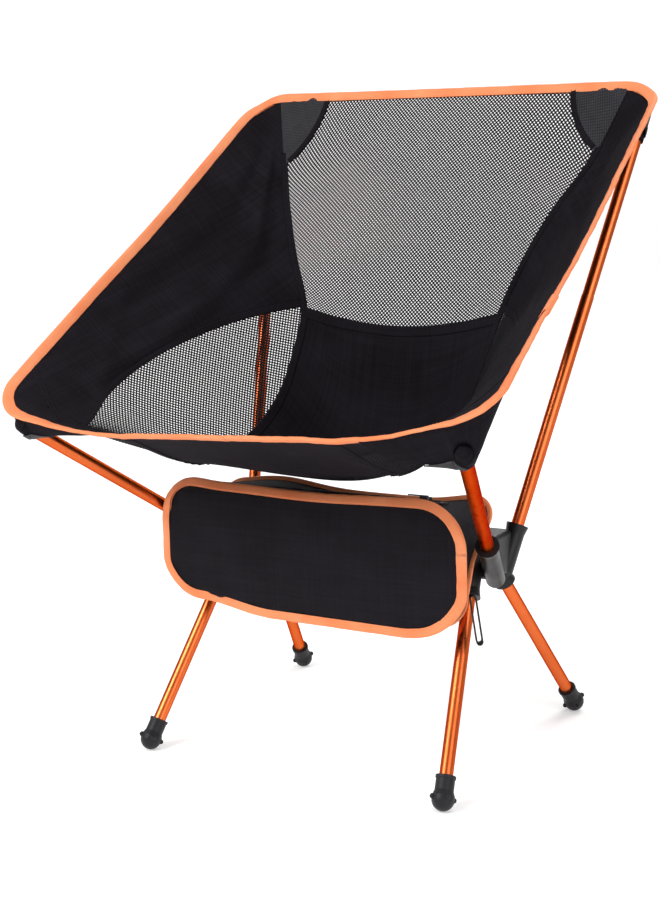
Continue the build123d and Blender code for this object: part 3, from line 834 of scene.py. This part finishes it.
def flat_tape(name, base, a, b, half_width, half_height, sign):
    """A narrow tape sewn on along a line of places on a strip, with a row of stitches along each edge."""
    place = side_point if base is side_base else base
    centre, path = resample(place(a, b), TAPE_STEP, np.stack([a, b], axis=1))
    up = facing(base, path[:, 0], path[:, 1])
    ahead = unit(np.gradient(centre, axis=0))
    across = unit(np.cross(ahead, up))
    rings = tape_rings(centre, across, across, up, half_width, half_height)
    rows = [
        (centre + across * half_width * k + up * (half_height + STITCH_LIFT) * h, up * h)
        for k in (-0.72, 0.72)
        for h in (1, -1)
    ]
    sewn_tape(name, rings, rows, sign)


def make_seams(side, sign):
    """The felled seam between the centre and a side, and the hems round the window."""
    v = np.linspace(0.14, 9.2, 200)
    ones = np.ones_like(v)
    seam = centre_base(ones, v)
    inner = unit(seam - centre_base(ones * 0.95, v))
    outer = unit(side_point(ones * 0.04, v) - seam)
    up = unit(facing(centre_base, ones, v) + facing(side_base, ones * 0, v))
    seam, inner, outer, up = resample(seam, TAPE_STEP, inner, outer, up)
    half_width, half_height = 5.2 * MM, 1.3 * MM
    rings = tape_rings(seam, inner, outer, up, half_width, half_height)
    rows = [
        (seam + way * half_width * k + up * (half_height + STITCH_LIFT) * h, up * h)
        for k, way in ((-0.7, inner), (0.7, outer))
        for h in (1, -1)
    ]
    sewn_tape(f"seat_seam_{side}", rings, rows, sign)
    v = np.linspace(WINDOW_CORNER[0] + 0.001, 6.3, 240)
    reach = window_top(v)
    open_v, open_s = v[reach > 0.01], reach[reach > 0.01]
    flat_tape(f"window_hem_{side}", side_base, open_s, open_v, SIDE_HEM_W, SIDE_HEM_T, sign)
    s = np.linspace(0.06, WINDOW_CORNER[1], 30)
    v = np.full_like(s, WINDOW_CORNER[0])
    flat_tape(f"window_hem_front_{side}", side_base, s, v, SIDE_HEM_W, SIDE_HEM_T, sign)
    (s0, v0), (s1, v1) = CORNER_SEAM
    share = np.linspace(0, 1, 30)
    s, v = s0 + (s1 - s0) * share, v0 + (v1 - v0) * share
    flat_tape(f"corner_seam_{side}", side_base, s, v, 3.0 * MM, 0.9 * MM, sign)


def make_back_seam():
    """The seam between the solid seat and the mesh back."""
    u = np.linspace(-1, 1, 60)
    flat_tape("back_seam", centre_base, u, np.full_like(u, BACK_RIB), 6.0 * MM, 1.2 * MM, 1)


def half_rim():
    """The left half of the cloth's edge, from the middle of the front to the middle of the top.

    Gives points, directions that stand up from the cloth, and directions into it.
    """
    turn = np.linspace(0, math.pi / 2, 24)[1:]
    (front, front_size), (back, back_size) = FRONT_CORNER, TOP_CORNER
    hem, seam = np.linspace(0, 1, 50), np.linspace(0, front, 40)
    edge, top = np.linspace(front_size, LAST - back_size, 90)[1:], np.linspace(1, 0, 60)[1:]
    parts = (
        (centre_base, hem, hem * 0),
        (side_base, seam, seam * 0),
        (side_base, front + (1 - front) * np.sin(turn), front_size * (1 - np.cos(turn))),
        (side_base, edge * 0 + 1, edge),
        (side_base, back + (1 - back) * np.cos(turn), LAST - back_size + back_size * np.sin(turn)),
        (centre_base, top, top * 0 + LAST),
    )
    places = {centre_base: centre_base, side_base: side_point}
    points = np.vstack([places[base](a, b) for base, a, b in parts])
    up = np.vstack([facing(base, a, b) for base, a, b in parts])
    points, up = resample(points, 3 * MM, up)
    soft = np.where(points[1:-1, 2:] > ROUND_ABOVE, 0.5, 0.0)
    for _ in range(RIM_PASSES):
        points[1:-1] += soft * ((points[:-2] + points[2:]) / 2 - points[1:-1])
    for _ in range(TURN_PASSES):
        up[1:-1] = unit(up[:-2] + up[1:-1] + up[2:])
    ahead = unit(np.gradient(points, axis=0))
    return points, up, unit(np.cross(up, ahead))


def fold_profile(width, thick):
    """The section of tape folded over an edge: (distance into the cloth, height)."""
    top = [(width, 0.5), (width - 0.6 * MM, 0.62), (width * 0.78, 0.66), (width * 0.55, 0.86)]
    top += [(width * 0.3, 1.0), (0.0, 0.98), (-0.8 * MM, 0.62)]
    both = top + [(-1.15 * MM, 0.0)] + [(x, -h) for x, h in reversed(top)]
    return np.array(both) * np.array([1.0, thick])


def bound_edge(name, points, up, inward, width, thick, wave, rests_on, closed=True):
    """Tape folded over a closed edge, with a row of stitches near its inner edge on both faces."""
    along = lengths(points)
    turn = along * 2 * math.pi
    waves = ((1.0, 61 * MM, 0.0), (0.7, 27 * MM, 1.7), (0.5, 13.7 * MM, 0.4))
    uneven = wave * sum(share * np.sin(turn / run + start) for share, run, start in waves)
    profile = fold_profile(width, thick)
    stretch = 1 + 0.015 * uneven[:, None] / max(wave, 1e-9) * (profile[:, 0] > width * 0.5)
    rings = (
        points[:, None, :]
        + inward[:, None, :] * (profile[:, 0] * stretch)[..., None]
        + up[:, None, :] * (profile[:, 1] + uneven[:, None])[..., None]
    )
    uv = layout(lengths(profile), along)
    faces = grid_faces(len(points), len(profile), closed=closed)
    made = thicken(piece(name, rings.reshape(-1, 3), faces, "edge_tape", uv), TAPE_T)
    line = points + inward * (width - 2.0 * MM)
    height = thick * 0.7 + TAPE_T / 2
    rows = [(line + up * (uneven[:, None] + h * height), up * h) for h in (1, -1)]
    stitches(f"{name}_stitches", rows, "thread_orange", radius=0.3 * MM)
    return made


def make_binding():
    """Orange tape folded over the whole edge of the seat."""
    points, up, inward = half_rim()
    back = slice(-2, 0, -1)
    loop = [np.vstack([half, mirrored(half)[back]]) for half in (points, up, inward)]
    made = bound_edge("seat_binding", *loop, BINDING_W, BINDING_T, 0.18 * MM, ["front_pole_tip_left"])
    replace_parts(made, "edge_binding")
    near = int(np.argmin(np.linalg.norm(points - side_base(1.0, SPLICE_AT), axis=1)))
    part = slice(near - 4, near + 5)
    over = (points[part], up[part], inward[part], BINDING_W + 1.2 * MM, BINDING_T + 1.3 * MM)
    bound_edge("binding_splice", *over, 0.0, ["seat_binding"], closed=False)


# ---------------------------------------------------------------- pockets


def sleeve(name, start, end, wide, stations):
    """A soft sleeve round a pole end: stations are (place along, half width, half height)."""
    axis = unit(end - start)
    wide = unit(wide - axis * (wide @ axis))
    high = np.cross(axis, wide)
    angles = np.linspace(0, 2 * math.pi, 28, endpoint=False)
    across = np.outer(np.sign(np.cos(angles)) * np.abs(np.cos(angles)) ** 0.85, wide)
    along = np.outer(np.sin(angles), high)
    rings = np.array([start + axis * a + across * w + along * h for a, w, h in stations])
    spots = rings.reshape(-1, 3)
    centre = np.repeat(rings.mean(axis=1), len(angles), axis=0)
    spots = spots + unit(spots - centre) * ripple(spots, 9 * MM, 0.7 * MM, 3)[:, None]
    return outward(loft(name, spots.reshape(rings.shape), "seat_cloth"))


def make_pockets(side, sign):
    """Snug pockets that the pole tips push into."""
    for which, (low, tip), wide, half, deep in (
        ("front", FRONT_POLE, np.array([0.55, 0.0, -0.1]), 7.6, 6.5),
        ("rear", REAR_POLE, np.array([0.3, -0.9, 0.0]), 7.6, 27),
    ):
        if sign < 0:
            low, tip, wide = mirrored(low), mirrored(tip), mirrored(wide)
        stations = [
            (-13, half * 0.45, half * 0.4),
            (-12.4, half * 0.75, half * 0.7),
            (-8, half * 0.97, half * 0.94),
            (0, half, half),
            (deep / 2, half * 0.98, half * 0.98),
            (deep - 3, half, half),
            (deep, half, half),
            (deep - 1, half - 0.9, half - 0.9),
        ]
        made = sleeve(f"pocket_{which}_{side}", tip, low, wide, MM * np.array(stations))
        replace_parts(made, f"{which}_pocket_{side}")


def rim_to_pole(sign, pole, keep, tuck, grid, turn, place, bag=0.0):
    """Cloth from a part of the rim down to a part ring round a pole; place is its mouth, radius and top."""
    across, down = grid
    mouth, radius, above = place
    points, _, inward = half_rim()
    kept = keep(points)
    rim = points[kept] + inward[kept] * tuck
    low, tip = pole
    if sign < 0:
        rim, low, tip = mirrored(rim), mirrored(low), mirrored(tip)
    rim = settled(rim)
    share = lengths(rim) / lengths(rim)[-1]
    rim = np.stack([np.interp(across, share, rim[:, k]) for k in range(3)], axis=-1)
    axis = unit(low - tip)
    wide = np.array([sign, 0.0, 0.0])
    wide = unit(wide - axis * (wide @ axis))
    below = np.cross(axis, wide) * sign
    turn = turn[..., None]
    ring = tip + axis * mouth + radius * (np.cos(turn) * wide + np.sin(turn) * below)
    f = down[..., None]
    spots = rim * (1 - f) + ring * f
    spots[..., 2] -= bag * np.sin(math.pi * down) * (1 - across)
    along = ((spots - tip) @ axis)[..., None]
    off = spots - tip - along * axis
    size = np.linalg.norm(off, axis=-1, keepdims=True)
    near = (size < radius) & (along > -above)
    return np.where(near, tip + along * axis + off / np.maximum(size, 1e-6) * radius, spots)


def pocket_sheet(name, points, around, fall, thick, finish):
    """A sheet of a pocket from a grid of points; around and fall are distances along its middle lines."""
    rows, columns = len(fall), len(around)
    made = thicken(piece(name, points, grid_faces(rows, columns), finish, layout(around, fall)), thick)


def make_gusset(side, sign):
    """The gusset of a front corner, with a strip of webbing sewn across it above its mouth."""

    def keep(points):
        return (points[:, 0] > GUSSET_FROM[0]) & (points[:, 1] < GUSSET_FROM[1])

    for name, across, down, thick, finish, lift in (
        (f"pocket_gusset_{side}", (0, 1, 49), (0, 1, 25), CLOTH, "seat_cloth", 0.0),
        (f"pocket_webbing_{side}", (0.12, 0.62, 33), (0.62, 0.93, 9), 1.3 * MM, "webbing", 1.3 * MM),
    ):
        grid = np.meshgrid(np.linspace(*across), np.linspace(*down))
        turn = math.pi * (1.02 - 1.1 * grid[0])
        place = (GUSSET_MOUTH[side], GUSSET_R, GUSSET_ABOVE)
        points = rim_to_pole(sign, FRONT_POLE, keep, 2 * MM, grid, turn, place, GUSSET_BAG[side])
        along_rows, along_columns = np.gradient(points, axis=0), np.gradient(points, axis=1)
        points = points + unit(np.cross(along_rows, along_columns)) * sign * lift
        around, fall = lengths(points[len(points) // 2]), lengths(points[:, points.shape[1] // 2])
        points = points.reshape(-1, 3)
        points = points + unit(points - points.mean(axis=0)) * ripple(points, 14 * MM, 0.8 * MM, 5)[:, None]
        pocket_sheet(name, points, around, fall, thick, finish)


def make_hood(side, sign):
    """The back of a top pocket: cloth from the rim of the corner down over the tip of the rear pole."""

    def keep(points):
        return (points[:, 0] > HOOD_FROM[0]) & (points[:, 2] > HOOD_FROM[1])

    grid = np.meshgrid(np.linspace(0, 1, 41), np.linspace(0, 1, 25))
    place = (HOOD_MOUTH, HOOD_R, HOOD_ABOVE)
    points = rim_to_pole(sign, REAR_POLE, keep, 3 * MM, grid, -math.pi * grid[0], place)
    around, fall = lengths(points[12]), lengths(points[:, 20])
    points = points.reshape(-1, 3)
    pocket_sheet(f"pocket_hood_{side}", points, around, fall, CLOTH, "seat_cloth")


# ---------------------------------------------------------------- carry bag


def rounded_grid(width, height, corner, columns, rows):
    """A grid of flat points that fills a rounded rectangle."""
    x = np.linspace(-width / 2, width / 2, columns)
    z = np.linspace(-height / 2, height / 2, rows)
    x, z = np.meshgrid(x, z)
    a = np.clip((np.abs(x) - (width / 2 - corner)) / corner, 0, 1)
    b = np.clip((np.abs(z) - (height / 2 - corner)) / corner, 0, 1)
    both = (a > 0) & (b > 0)
    round_x = width / 2 - corner + corner * a * np.sqrt(1 - b * b / 2)
    round_z = height / 2 - corner + corner * b * np.sqrt(1 - a * a / 2)
    x = np.where(both, np.sign(x) * round_x, x)
    z = np.where(both, np.sign(z) * round_z, z)
    return x, z


def rounded_loop(width, height, corner, step=3 * MM):
    """The edge of a rounded rectangle, anticlockwise from the middle of its right side."""
    points = []
    for quarter in range(4):
        signs = [(1, 1), (-1, 1), (-1, -1), (1, -1)][quarter]
        middle = np.array(signs) * np.array([width / 2 - corner, height / 2 - corner])
        turn = np.linspace(0, math.pi / 2, 12) + quarter * math.pi / 2
        points.append(middle + corner * np.stack([np.cos(turn), np.sin(turn)], axis=-1))
    loop = np.vstack(points + [points[0][:1]])
    return resample(loop, step)[0][:-1]


def bag_frames():
    """Centre, x axis, up axis and outward direction of the front and the rear panel."""
    front = (BAG_FRONT, np.array([1.0, 0, 0]), np.array([0, 0, 1.0]), np.array([0, -1.0, 0]))
    c, s = math.cos(BAG_REAR_TILT), math.sin(BAG_REAR_TILT)
    rear = (BAG_REAR, np.array([1.0, 0, 0]), np.array([0, s, c]), np.array([0, c, -s]))
    return front, rear


def sagged(flat, front):
    """Where a bag panel's outline lies on the hanging bag: x across and z up, about the panel's centre."""
    x, z = flat[..., 0], flat[..., 1]
    above, below = ease(z / (50 * MM)), ease(-z / (50 * MM))
    if front:
        lift = 10.5 * MM * ease((-x - 40 * MM) / (90 * MM)) + 8 * MM * ease((x - 105 * MM) / (60 * MM))
        sag = 3 * MM * bump(x, 10 * MM, 70 * MM) - 3 * MM * ease((-x - 90 * MM) / (60 * MM))
        return np.stack([x, z + lift * below - sag * above], axis=-1)
    ear = ease((x - 95 * MM) / (50 * MM)) * above
    dome = 9 * MM * bump(x, -80 * MM, 55 * MM) * above
    return np.stack([x + 12 * MM * ear, z + dome + 8 * MM * ear], axis=-1)


def bag_panel(name, place, width, height, corner, crown, seed):
    """A bag panel: cloth that bulges between its bound edges, with soft creases."""
    centre, right, up, out = place
    columns, rows = 93, 39
    x, z = rounded_grid(width - 3 * MM, height - 3 * MM, corner - 1.5 * MM, columns, rows)
    flat = np.stack([x, z], axis=-1).reshape(-1, 2)
    full = (1 - np.abs(2 * flat[:, 0] / width) ** 5) * (1 - np.abs(2 * flat[:, 1] / height) ** 3)
    full = np.clip(full, 0, 1)
    spots = np.concatenate([flat, np.zeros((len(flat), 1))], axis=1)
    creases = ripple(spots * (1.0, 1.7, 1.0), 60 * MM, 2.6 * MM, seed)
    creases = creases + ripple(spots, 24 * MM, 0.8 * MM, seed + 1)
    height_out = crown * full + creases * np.clip(full * 2.5, 0, 1)
    flat = sagged(flat, front=crown > 4 * MM)
    points = centre + np.outer(flat[:, 0], right) + np.outer(flat[:, 1], up) + np.outer(height_out, out)
    made = thicken(piece(name, points, grid_faces(rows, columns), "bag_cloth", flat), CLOTH)
    return made


def bag_edge(name, place, width, height, corner, front):
    """The bound edge of a bag panel; along the top of the front it rolls back."""
    centre, right, up, out = place
    loop = sagged(rounded_loop(width + BAG_BINDING_T, height + BAG_BINDING_T, corner), front)
    points = centre + np.outer(loop[:, 0], right) + np.outer(loop[:, 1], up)
    ahead = unit(np.roll(points, -1, axis=0) - np.roll(points, 1, axis=0))
    lift = np.tile(out, (len(points), 1))
    inward = unit(np.cross(lift, ahead))
    toward = np.sign(((centre - points) * inward).sum(axis=1, keepdims=True))
    inward = inward * toward
    slope = 0.16 + 0.9 * ease(-inward[:, 2:3] * 1.4 - 0.3) * front
    inward, lift = unit(inward + lift * slope), unit(lift - inward * slope)
    tape = (BAG_BINDING_W, BAG_BINDING_T, 0.2 * MM, ["bag_strap_left"])
    return bound_edge(name, points, lift, inward, *tape)


def make_bag():
    """Front and rear panels, their bound edges, and the wall between them."""
    front, rear = bag_frames()
    front_size, rear_size = (BAG_W, BAG_H, BAG_CORNER), (BAG_REAR_W, BAG_REAR_H, BAG_REAR_CORNER)
    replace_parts(bag_panel("bag_cloth_front", front, *front_size, BAG_CROWN, 11), "bag_front_panel")
    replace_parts(bag_panel("bag_cloth_rear", rear, *rear_size, 3 * MM, 17), "bag_rear_panel")
    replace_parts(bag_edge("bag_edge_front", front, *front_size, True), "bag_front_binding")
    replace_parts(bag_edge("bag_edge_rear", rear, *rear_size, False), "bag_rear_binding")

    loops = []
    for (centre, right, up, _), (width, height, corner) in ((front, front_size), (rear, rear_size)):
        loop = rounded_loop(width - 5 * MM, height - 5 * MM, corner - 2.5 * MM, 4 * MM)
        share = np.linspace(0, 1, 241)[:-1]
        closed = np.vstack([loop, loop[:1]])
        along = lengths(closed)
        even = np.stack([np.interp(share * along[-1], along, closed[:, k]) for k in range(2)], axis=1)
        even = sagged(even, centre is front[0])
        loops.append(centre + np.outer(even[:, 0], right) + np.outer(even[:, 1], up))
    rows = 13
    share = np.linspace(0, 1, rows)[:, None, None]
    wall = loops[0][None] * (1 - share) + loops[1][None] * share
    middle = wall.mean(axis=1, keepdims=True)
    pinch = np.sin(math.pi * share) * 2.2 * MM
    top = (wall[..., 2:3] - middle[..., 2:3]) > 0.04
    pinch = np.where(top, pinch * 0.2, pinch)
    spots = wall.reshape(-1, 3)
    uneven = ripple(spots * (1.0, 0.5, 1.0), 26 * MM, 2.0 * MM, 23).reshape(rows, -1, 1)
    wall = wall - unit(wall - middle) * (pinch + (uneven + 1 * MM) * np.sin(math.pi * share))
    uv = layout(lengths(loops[0]), np.linspace(0, 60 * MM, rows))
    faces = grid_faces(rows, wall.shape[1], wrap=True)
    made = thicken(piece("bag_cloth_wall", wall.reshape(-1, 3), faces, "bag_cloth", uv), CLOTH)
    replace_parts(made, "bag_wall")


def make_zip():
    """Zip tape and its interlocking teeth along the top of the bag."""
    low, high = (np.array(corner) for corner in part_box("bag_zip"))
    rear = bag_frames()[1]
    front_top = np.array([0, BAG_FRONT[1] + 1.8 * MM, BAG_FRONT[2] + BAG_H / 2 - 2 * MM])
    rear_top = rear[0] + rear[2] * (BAG_REAR_H / 2 - 2 * MM) - rear[3] * 1.8 * MM
    middle = (front_top + rear_top) / 2
    back = unit(rear_top - front_top)
    up = np.cross(np.array([1.0, 0, 0]), back)
    x = np.linspace(low[0], high[0], 90)
    line = middle + np.outer(x, [1.0, 0, 0]) + up * 0.5 * MM
    across, lift = np.tile(back, (90, 1)), np.tile(up, (90, 1))
    tape = outward(loft("zip_tape", tape_rings(line, across, across, lift, ZIP_W / 2, 0.5 * MM), "webbing"))
    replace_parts(tape, "bag_zip")
    rows = [(line + back * side * ZIP_W * 0.4 + up * 0.6 * MM, lift) for side in (-1, 1)]
    stitches("zip_tape_stitches", rows, "thread_black")
    square = ((-1, -1), (1, -1), (1, 1), (-1, 1))
    shape = [(w * x, y, z) for z, w in ((0.0, 1.0), (1.1, 0.8), (1.5, 0.45)) for x, y in square]
    faces_of_one = grid_faces(3, 4, wrap=True) + [(8, 9, 10, 11)]
    points, faces = [], []
    for i, place in enumerate(np.arange(low[0] + 5 * MM, high[0] - 5 * MM, ZIP_PITCH / 2)):
        side = 1 if i % 2 else -1
        start = len(points)
        for a, b, c in shape:
            spot = middle + np.array([place + a * 0.38 * ZIP_PITCH / 2, 0, 0])
            points.append(spot + back * (side * 0.9 + b * 1.5) * MM + up * (1.0 + c) * MM)
        faces.extend(tuple(start + k for k in face) for face in faces_of_one)
    piece("zip_teeth", points, faces, "zip_plastic", np.asarray(points)[:, :2], flat=True)


def band(name, line, width_way, width, thick, body, closed=False):
    """A flat strap that follows a line in a plane; width_way is the direction of its width."""
    around = np.roll(line, -1, axis=0) - np.roll(line, 1, axis=0)
    ahead = unit(around if closed else np.gradient(line, axis=0))
    wide = np.tile(width_way, (len(line), 1))
    up = unit(np.cross(wide, ahead))
    rings = tape_rings(line, wide, wide, up, width / 2, thick / 2)
    return outward(loft(name, rings, "webbing", closed=closed, body=body))


def make_straps(side, sign):
    """A strap from the rear panel looped round the crossbar."""
    rear = bag_frames()[1]
    radius = CROSSBAR_R + STRAP_T / 2
    reach = rear[0] + rear[3] * 1.6 * MM
    sewn = reach + rear[2] * ((CROSSBAR[2] - reach[2]) / rear[2][2])
    turn = np.linspace(-math.pi * 0.86, math.pi * 0.86, 40)
    loop = [CROSSBAR + radius * np.array([0, math.cos(t), math.sin(t)]) for t in turn]
    half = np.array([0, 0, STRAP_T * 0.5])
    line = resample(np.array([sewn - half, *loop, sewn + half]), 2 * MM)[0]
    line[:, 0] = sign * STRAP_X
    made = band(f"strap_{side}", line, np.array([1.0, 0, 0]), STRAP_W, STRAP_T, "frame")
    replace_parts(made, f"bag_strap_{side}")


def make_tab():
    """The webbing tab that hangs from the end of the bag."""
    half = (TAB_GAP + TAB_T) / 2
    down = TAB_L - TAB_T - 2 * half
    arc = np.linspace(0, math.pi, 14)
    top = [(half * math.cos(t), half * math.sin(t)) for t in arc]
    low = [(-half * math.cos(t), -down - half * math.sin(t)) for t in arc]
    flat = np.array(top + low)
    closed = resample(np.vstack([flat, flat[:1]]), 1.5 * MM)[0][:-1]
    closed[:, 1] -= half + TAB_T / 2
    c, s = math.cos(TAB_LEAN), math.sin(TAB_LEAN)
    x = closed[:, 0] * c - closed[:, 1] * s
    z = closed[:, 0] * s + closed[:, 1] * c
    c, s = math.cos(TAB_TURN), math.sin(TAB_TURN)
    line = TAB_TOP + np.stack([x * c, x * s, z], axis=-1)
    made = band("tab_webbing", line, np.array([-s, c, 0]), TAB_W, TAB_T, "bag_tab", closed=True)
    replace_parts(made, "bag_tab")


# ---------------------------------------------------------------- hardware


def finish_hardware():
    """Give each CAD node that stays in view its finish."""
    finishes = (
        (("leg_front_cord", "leg_rear_cord", "front_pole_cord", "rear_pole_cord"), "shock_cord"),
        (("front_pole_tip", "rear_pole_tip"), "hub_plastic"),
        (("pole_ferrule",), "ferrule_metal"),
        (("foot",), "foot_rubber"),
        (("hub_rivets",), "rivet_steel"),
        (("hub",), "hub_plastic"),
        (("zip",), "zip_metal"),
        (("leg", "front_pole", "rear_pole", "crossbar"), "anodised_tube"),
    )
    for name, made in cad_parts.items():
        for starts, finish in finishes:
            if name.startswith(starts):
                made.data.materials.clear()
                made.data.materials.append(MATERIALS[finish])
                break


# ---------------------------------------------------------------- stage, light and camera


def make_stage():
    """A pale floor that curves up into a wall behind the chair."""
    away = Vector((-math.sin(CAMERA_AZIMUTH), math.cos(CAMERA_AZIMUTH), 0))
    right = Vector((away.y, -away.x, 0))
    turn = np.linspace(0, math.pi / 2, 20)
    low, start, radius = -0.0005, 2.2, 1.2
    curve = [(start + radius * math.sin(t), low + radius * (1 - math.cos(t))) for t in turn]
    section = [(-3.5, low), *curve, (start + radius, 4.5)]
    points = [away * d + right * w + Vector((0, 0, h)) for d, h in section for w in (-4, 4)]
    mesh = bpy.data.meshes.new("Floor")
    mesh.from_pydata(points, [], grid_faces(len(section), 2))
    mesh.polygons.foreach_set("use_smooth", [True] * len(mesh.polygons))
    finish = Finish("floor")
    tone = finish.noise(3.0)
    mesh.materials.append(
        finish.surface(
            Base_Color=finish.colours(tone, (0.86, 0.86, 0.86), (0.88, 0.88, 0.88)),
            Roughness=0.9,
            Emission_Color=(1.0, 1.0, 1.0),
            Emission_Strength=0.32,
        )
    )
    floor = bpy.data.objects.new("Floor", mesh)
    bpy.context.collection.objects.link(floor)


def softbox(name, place, target, size, power):
    """A square studio light that points at a place."""
    data = bpy.data.lights.new(name, "AREA")
    data.energy = power
    data.size = size
    made = bpy.data.objects.new(name, data)
    made.location = place
    made.rotation_euler = (Vector(target) - Vector(place)).to_track_quat("-Z", "Y").to_euler()
    bpy.context.collection.objects.link(made)


def make_light():
    """An even white room with three soft lights."""
    world = bpy.data.worlds.new("Room")
    world.use_nodes = True
    world.node_tree.nodes["Background"].inputs["Color"].default_value = (1, 1, 1, 1)
    world.node_tree.nodes["Background"].inputs["Strength"].default_value = 0.45
    bpy.context.scene.world = world
    target = (0, 0, 0.35)
    softbox("Key", (-1.1, -1.9, 1.9), target, 1.2, 52)
    softbox("Fill", (2.2, -1.0, 1.2), target, 1.6, 22)
    softbox("Rim", (0.2, 1.7, 1.9), target, 1.2, 24)
    bpy.context.scene.view_settings.view_transform = "Standard"


def make_camera():
    """A camera at the photograph's angle."""
    a, e, r = CAMERA_AZIMUTH, CAMERA_ELEVATION, CAMERA_ROLL
    back = Vector((math.sin(a) * math.cos(e), -math.cos(a) * math.cos(e), math.sin(e)))
    right = (-back).cross(Vector((0, 0, 1))).normalized()
    up = right.cross(-back)
    tilted_right = right * math.cos(r) + up * math.sin(r)
    tilted_up = up * math.cos(r) - right * math.sin(r)
    data = bpy.data.cameras.new("Camera")
    data.lens = CAMERA_LENS
    data.sensor_width = 36
    camera = bpy.data.objects.new("Camera", data)
    turned = Matrix((tilted_right, tilted_up, back)).transposed().to_4x4()
    camera.matrix_world = Matrix.Translation(CAMERA_AT) @ turned
    bpy.context.collection.objects.link(camera)
    bpy.context.scene.camera = camera


make_camera()
make_stage()
make_light()
finish_hardware()
make_seat_panel()
make_back_mesh()
make_back_seam()
make_binding()
for side_name, side_sign in SIDES:
    make_side_panel(side_name, side_sign)
    make_window(side_name, side_sign)
    make_seams(side_name, side_sign)
    make_patch(side_name, side_sign)
    make_pockets(side_name, side_sign)
    make_gusset(side_name, side_sign)
    make_hood(side_name, side_sign)
    make_straps(side_name, side_sign)
make_bag()
make_zip()
make_tab()
